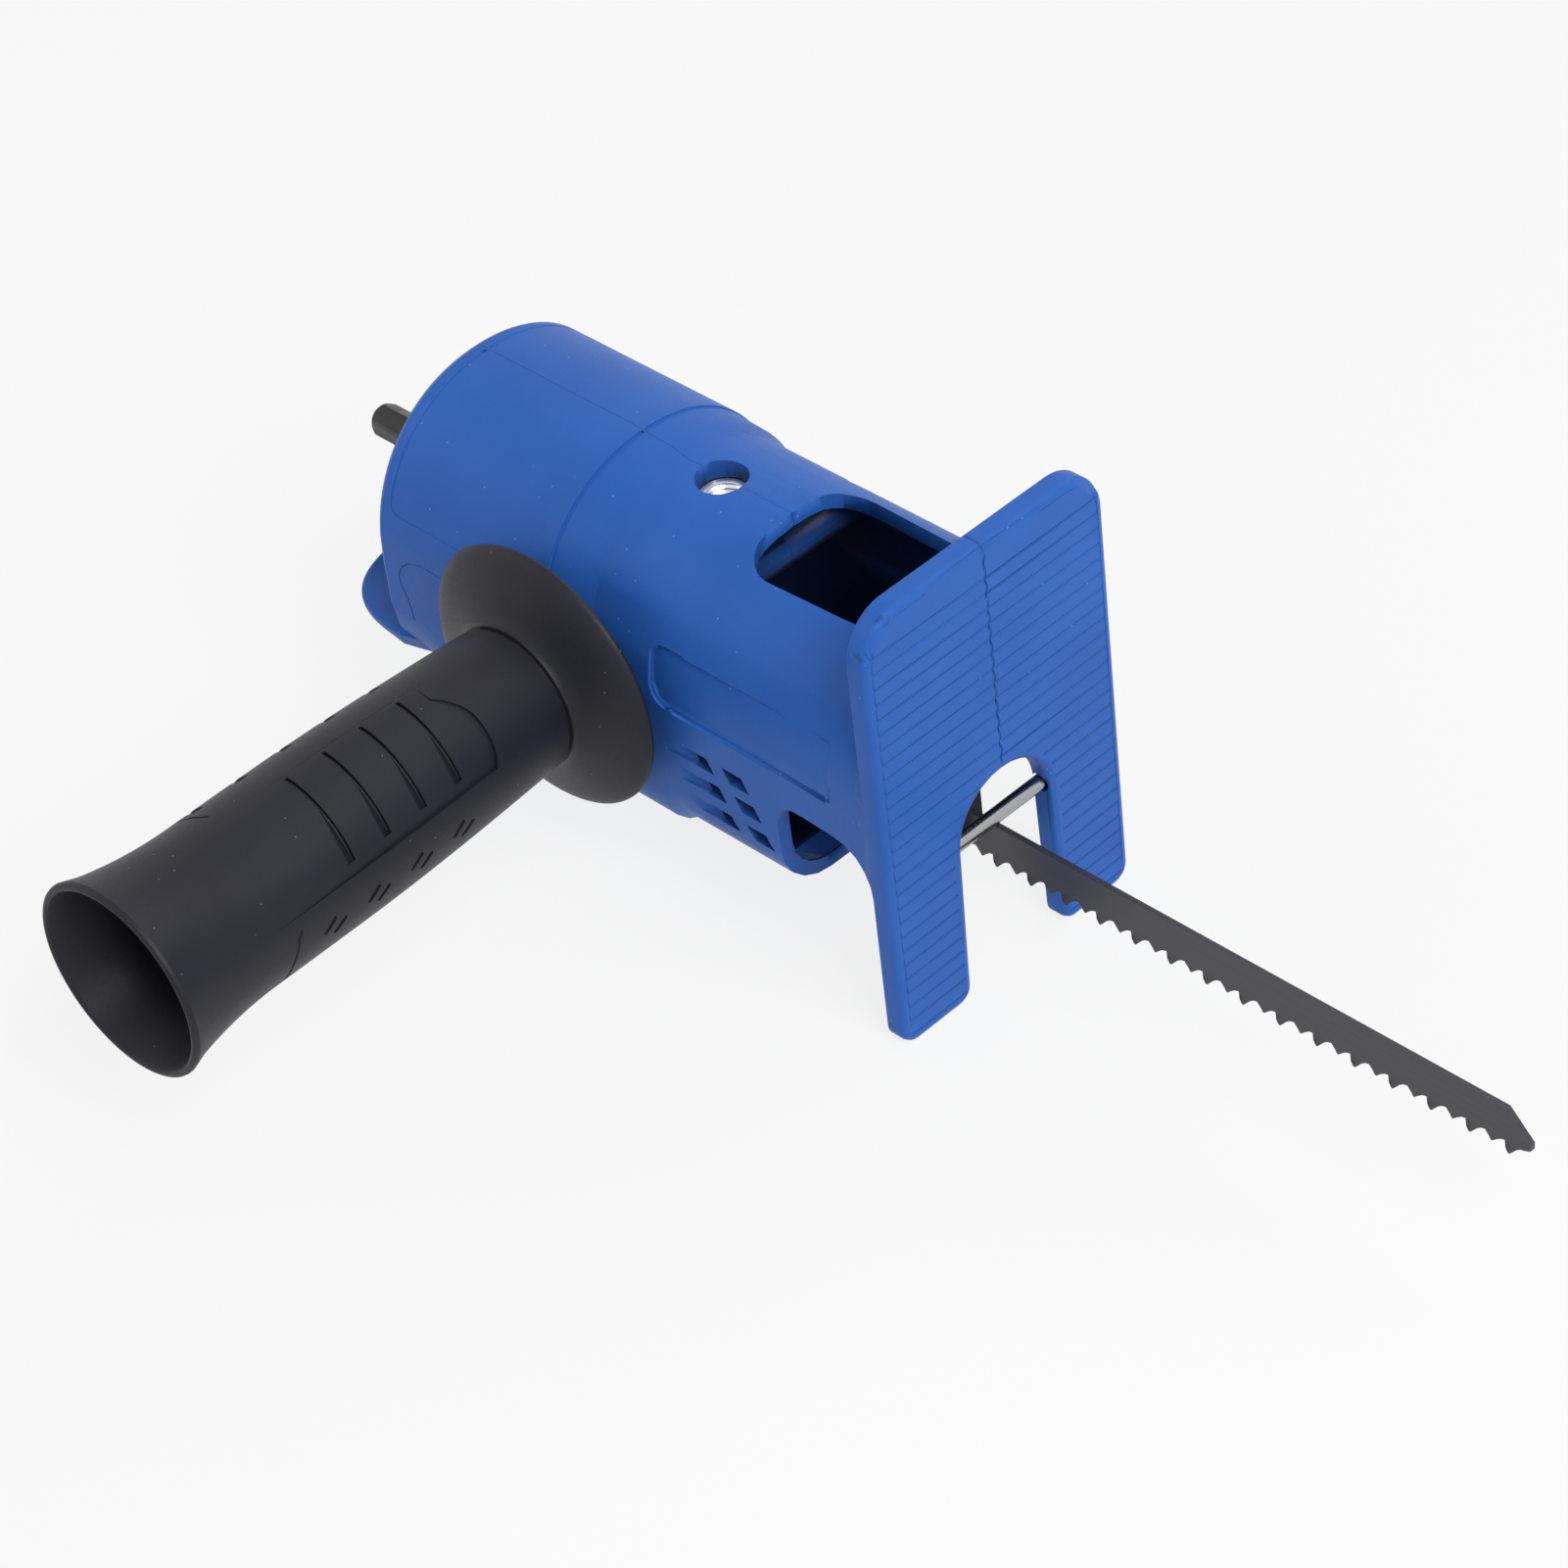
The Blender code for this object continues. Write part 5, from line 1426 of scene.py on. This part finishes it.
def blade_outline():
    """Outline as (x, z): back, slanted tip, teeth from the tip inwards and the plain stretch."""
    points = [(BLADE_END, BLADE_BACK), (BLADE_TIP - TIP_SLANT, BLADE_BACK),
              (BLADE_TIP - 0.3, BLADE_BACK - TIP_DROP + 0.3), (BLADE_TIP, BLADE_BACK - TIP_DROP)]
    last = FIRST_TOOTH + TOOTH_COUNT * TOOTH_PITCH
    points.append((BLADE_TIP, GULLET + 0.6))
    points.append((min(last, BLADE_TIP - 0.5), GULLET))
    for tooth in reversed(range(TOOTH_COUNT)):
        start = FIRST_TOOTH + tooth * TOOTH_PITCH
        for share, height in reversed(TOOTH_SHAPE):
            points.append((start + share * TOOTH_PITCH, GULLET + (TOOTH_TIP - GULLET) * height))
    points.append((BLADE_END, GULLET))
    return points


outline = [Vector((x, -BLADE_HALF, z)) * mm for x, z in blade_outline()]
blade = draw(outline)
blade.name = "saw_blade_look"
edit(blade)
bpy.ops.mesh.edge_face_add()
bpy.ops.mesh.extrude_region_move(TRANSFORM_OT_translate={"value": (0, 2 * BLADE_HALF * mm, 0)})
leave_edit()
clean_up(blade)

# %% [markdown]
# ### Set of the teeth
#
# Saw teeth are set: every other tooth is bent to the near side and the rest to the far side, so that the cut is wider
# than the strip and the blade doesn't bind. A setting tool bends them on the real blade. Here the vertices of the tips
# are selected by their height and their tooth's number, and each lot moves to its side.

# %% Set of the teeth
TIP_BAND = 1.2          # vertices further than this below the gullets are on a tip


def tooth_of(place):
    return int((place.x / mm - FIRST_TOOTH) // TOOTH_PITCH)


for parity, side in ((0, -1), (1, 1)):
    def is_tip(place):
        return place.z / mm < GULLET - TIP_BAND and tooth_of(place) % 2 == parity
    select_where(blade, is_tip)
    bpy.ops.transform.translate(value=(0, side * TOOTH_SET * mm, 0))
    leave_edit()
dress(blade, "saw_blade", angle=25.0)
print("blade width over the teeth in mm:", round(blade.dimensions.y / mm, 2))

# %% [markdown]
# ## Nuts
#
# Three zinc plated nuts wait in their pockets, and the top one shows in the hole behind the window. A nut starts as
# a six sided cylinder with its corners turned off, and its thread is cut by a spun zigzag, one tooth for each pitch.
# A true thread is a spiral, but at this size nobody can tell, and rings are closed and simple.

# %% Nut
NUT_FLATS = 13.0
NUT_HEIGHT = 6.5
THREAD_PITCH = 1.5
THREAD_CREST = 3.95
THREAD_ROOT = 4.75
NUT_CHAMFER = 0.75


def spin_about_z(piece, steps):
    edit(piece)
    bpy.ops.mesh.spin(steps=steps, angle=2 * math.pi, center=(0, 0, 0), axis=(0, 0, 1))
    leave_edit()
    clean_up(piece)


def thread_tool():
    """Threaded core, longer than the nut, with a widened mouth at both ends."""
    half = NUT_HEIGHT / 2
    points = [(0, -half - 1), (THREAD_ROOT + 0.9, -half - 1), (THREAD_ROOT + 0.1, -half)]
    height = -half + 0.5
    while height < half - 0.5:
        points += [(THREAD_CREST, height), (THREAD_ROOT, height + THREAD_PITCH / 2)]
        height += THREAD_PITCH
    points += [(THREAD_CREST, half - 0.4), (THREAD_ROOT + 0.1, half), (THREAD_ROOT + 0.9, half + 1), (0, half + 1)]
    tool = draw([Vector((radius, 0, height)) * mm for radius, height in points])
    spin_about_z(tool, 48)
    return tool


def turned_hex():
    """Six sided block whose corners are turned off at both ends, as the crossing of a prism and a turned blank."""
    corner = NUT_FLATS / math.sqrt(3)
    half = NUT_HEIGHT / 2
    bpy.ops.object.select_all(action="DESELECT")
    bpy.ops.mesh.primitive_cylinder_add(vertices=6, radius=corner * mm, depth=NUT_HEIGHT * mm)
    prism = bpy.context.object
    flat = NUT_FLATS / 2
    points = [(0, -half), (flat - 0.1, -half), (corner + 0.1, -half + NUT_CHAMFER), (corner + 0.1, half - NUT_CHAMFER),
              (flat - 0.1, half), (0, half)]
    blank = draw([Vector((radius, 0, height)) * mm for radius, height in points])
    spin_about_z(blank, 48)
    combine(prism, blank, "INTERSECT")
    return prism


first_nut = turned_hex()
combine(first_nut, thread_tool())
print("nut faces:", len(first_nut.data.polygons), "width in mm:", [round(v / mm, 2) for v in first_nut.dimensions])

# %% [markdown]
# ### Copies of the nut
#
# All three nuts are the same, so the first one is copied, each copy with its own mesh. The top nut lies flat and the
# side nuts stand with their hole to the side. The copy is turned and moved in its mesh, and the object stays at the
# origin, because the plating's pattern is read from there.

# %% Nuts in their pockets


def place_copy(piece, name, turn):
    """Copy with its own mesh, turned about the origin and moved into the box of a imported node."""
    low, high = (Vector(corner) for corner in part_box(name))
    copy = piece.copy()
    copy.data = piece.data.copy()
    copy.name = name + "_look"
    bpy.context.collection.objects.link(copy)
    copy.data.transform(Matrix.Translation((low + high) / 2) @ turn)
    dress(copy, name)
    return copy


QUARTER = math.pi / 2
TO_SIDE = Matrix.Rotation(QUARTER, 4, "X") @ Matrix.Rotation(QUARTER, 4, "Z")
NUT_TURNS = {"top_nut": Matrix(), "left_nut": TO_SIDE, "right_nut": TO_SIDE}
for name, turn in NUT_TURNS.items():
    placed = place_copy(first_nut, name, turn)
    print(placed.name, [round(v / mm, 1) for v in placed.dimensions])
bpy.data.objects.remove(first_nut, do_unlink=True)

# %% [markdown]
# ## Housing screws
#
# Four screws close the housing from the left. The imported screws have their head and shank, and the recess of the
# driver is missing: a cross, cut by two slim wedges. All four heads get the same cutter, moved to their place.

# %% Cross recess
CROSS_LENGTH = 3.4
CROSS_WIDTH = 0.75
CROSS_DEPTH = 1.3
CROSS_TAPER = (0.45, 1, 0.7)        # size of a wing's inner end


def cross_tool(centre):
    """Two crossed wedges that narrow towards the shank."""
    wings = []
    for turn in (0, QUARTER):
        bpy.ops.object.select_all(action="DESELECT")
        bpy.ops.mesh.primitive_cube_add(size=1)
        wing = bpy.context.object
        edit(wing)
        bpy.ops.transform.resize(value=(CROSS_LENGTH * mm, 2 * CROSS_DEPTH * mm, CROSS_WIDTH * mm))
        leave_edit()
        select_where(wing, lambda place: place.y < 0)
        bpy.ops.transform.resize(value=CROSS_TAPER, center_override=(0, 0, 0))
        leave_edit()
        wing.data.transform(Matrix.Translation(centre) @ Matrix.Rotation(turn, 4, "Y"))
        wings.append(wing)
    combine(wings[0], wings[1], "UNION")
    return wings[0]


SCREWS = [f"housing_screw_{number}" for number in range(1, 5)]
for name in SCREWS:
    screw = copy_of_node(name)
    low, high = (Vector(corner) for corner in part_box(name))
    combine(screw, cross_tool(Vector(((low.x + high.x) / 2, high.y, (low.z + high.z) / 2))))
    dress(screw, name)
print("screws with a cross recess:", len(SCREWS))

# %% [markdown]
# ## Round steel pieces
#
# The guide pin, the shank and the blade clamp can be seen too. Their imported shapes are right, so merged copies of
# them are enough, and they shade as smooth round faces with crisp ends.

# %% Pin, shank, clamp, rod and bolt
PIN_SLIM = 0.8              # the pin looks slimmer in the photo than it was packed
ROUND_NODES = ("drive_shaft", "blade_clamp", "slide_rod", "handle_bolt", "clamp_screw_1", "clamp_screw_2")

for name in ROUND_NODES:
    dress(copy_of_node(name), name)
pin = copy_of_node("guide_pin")
low, high = (Vector(corner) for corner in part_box("guide_pin"))
edit(pin)
bpy.ops.transform.resize(value=(PIN_SLIM, 1, PIN_SLIM), center_override=(low + high) / 2)
leave_edit()
dress(pin, "guide_pin")
print("merged copies:", len(ROUND_NODES) + 1)
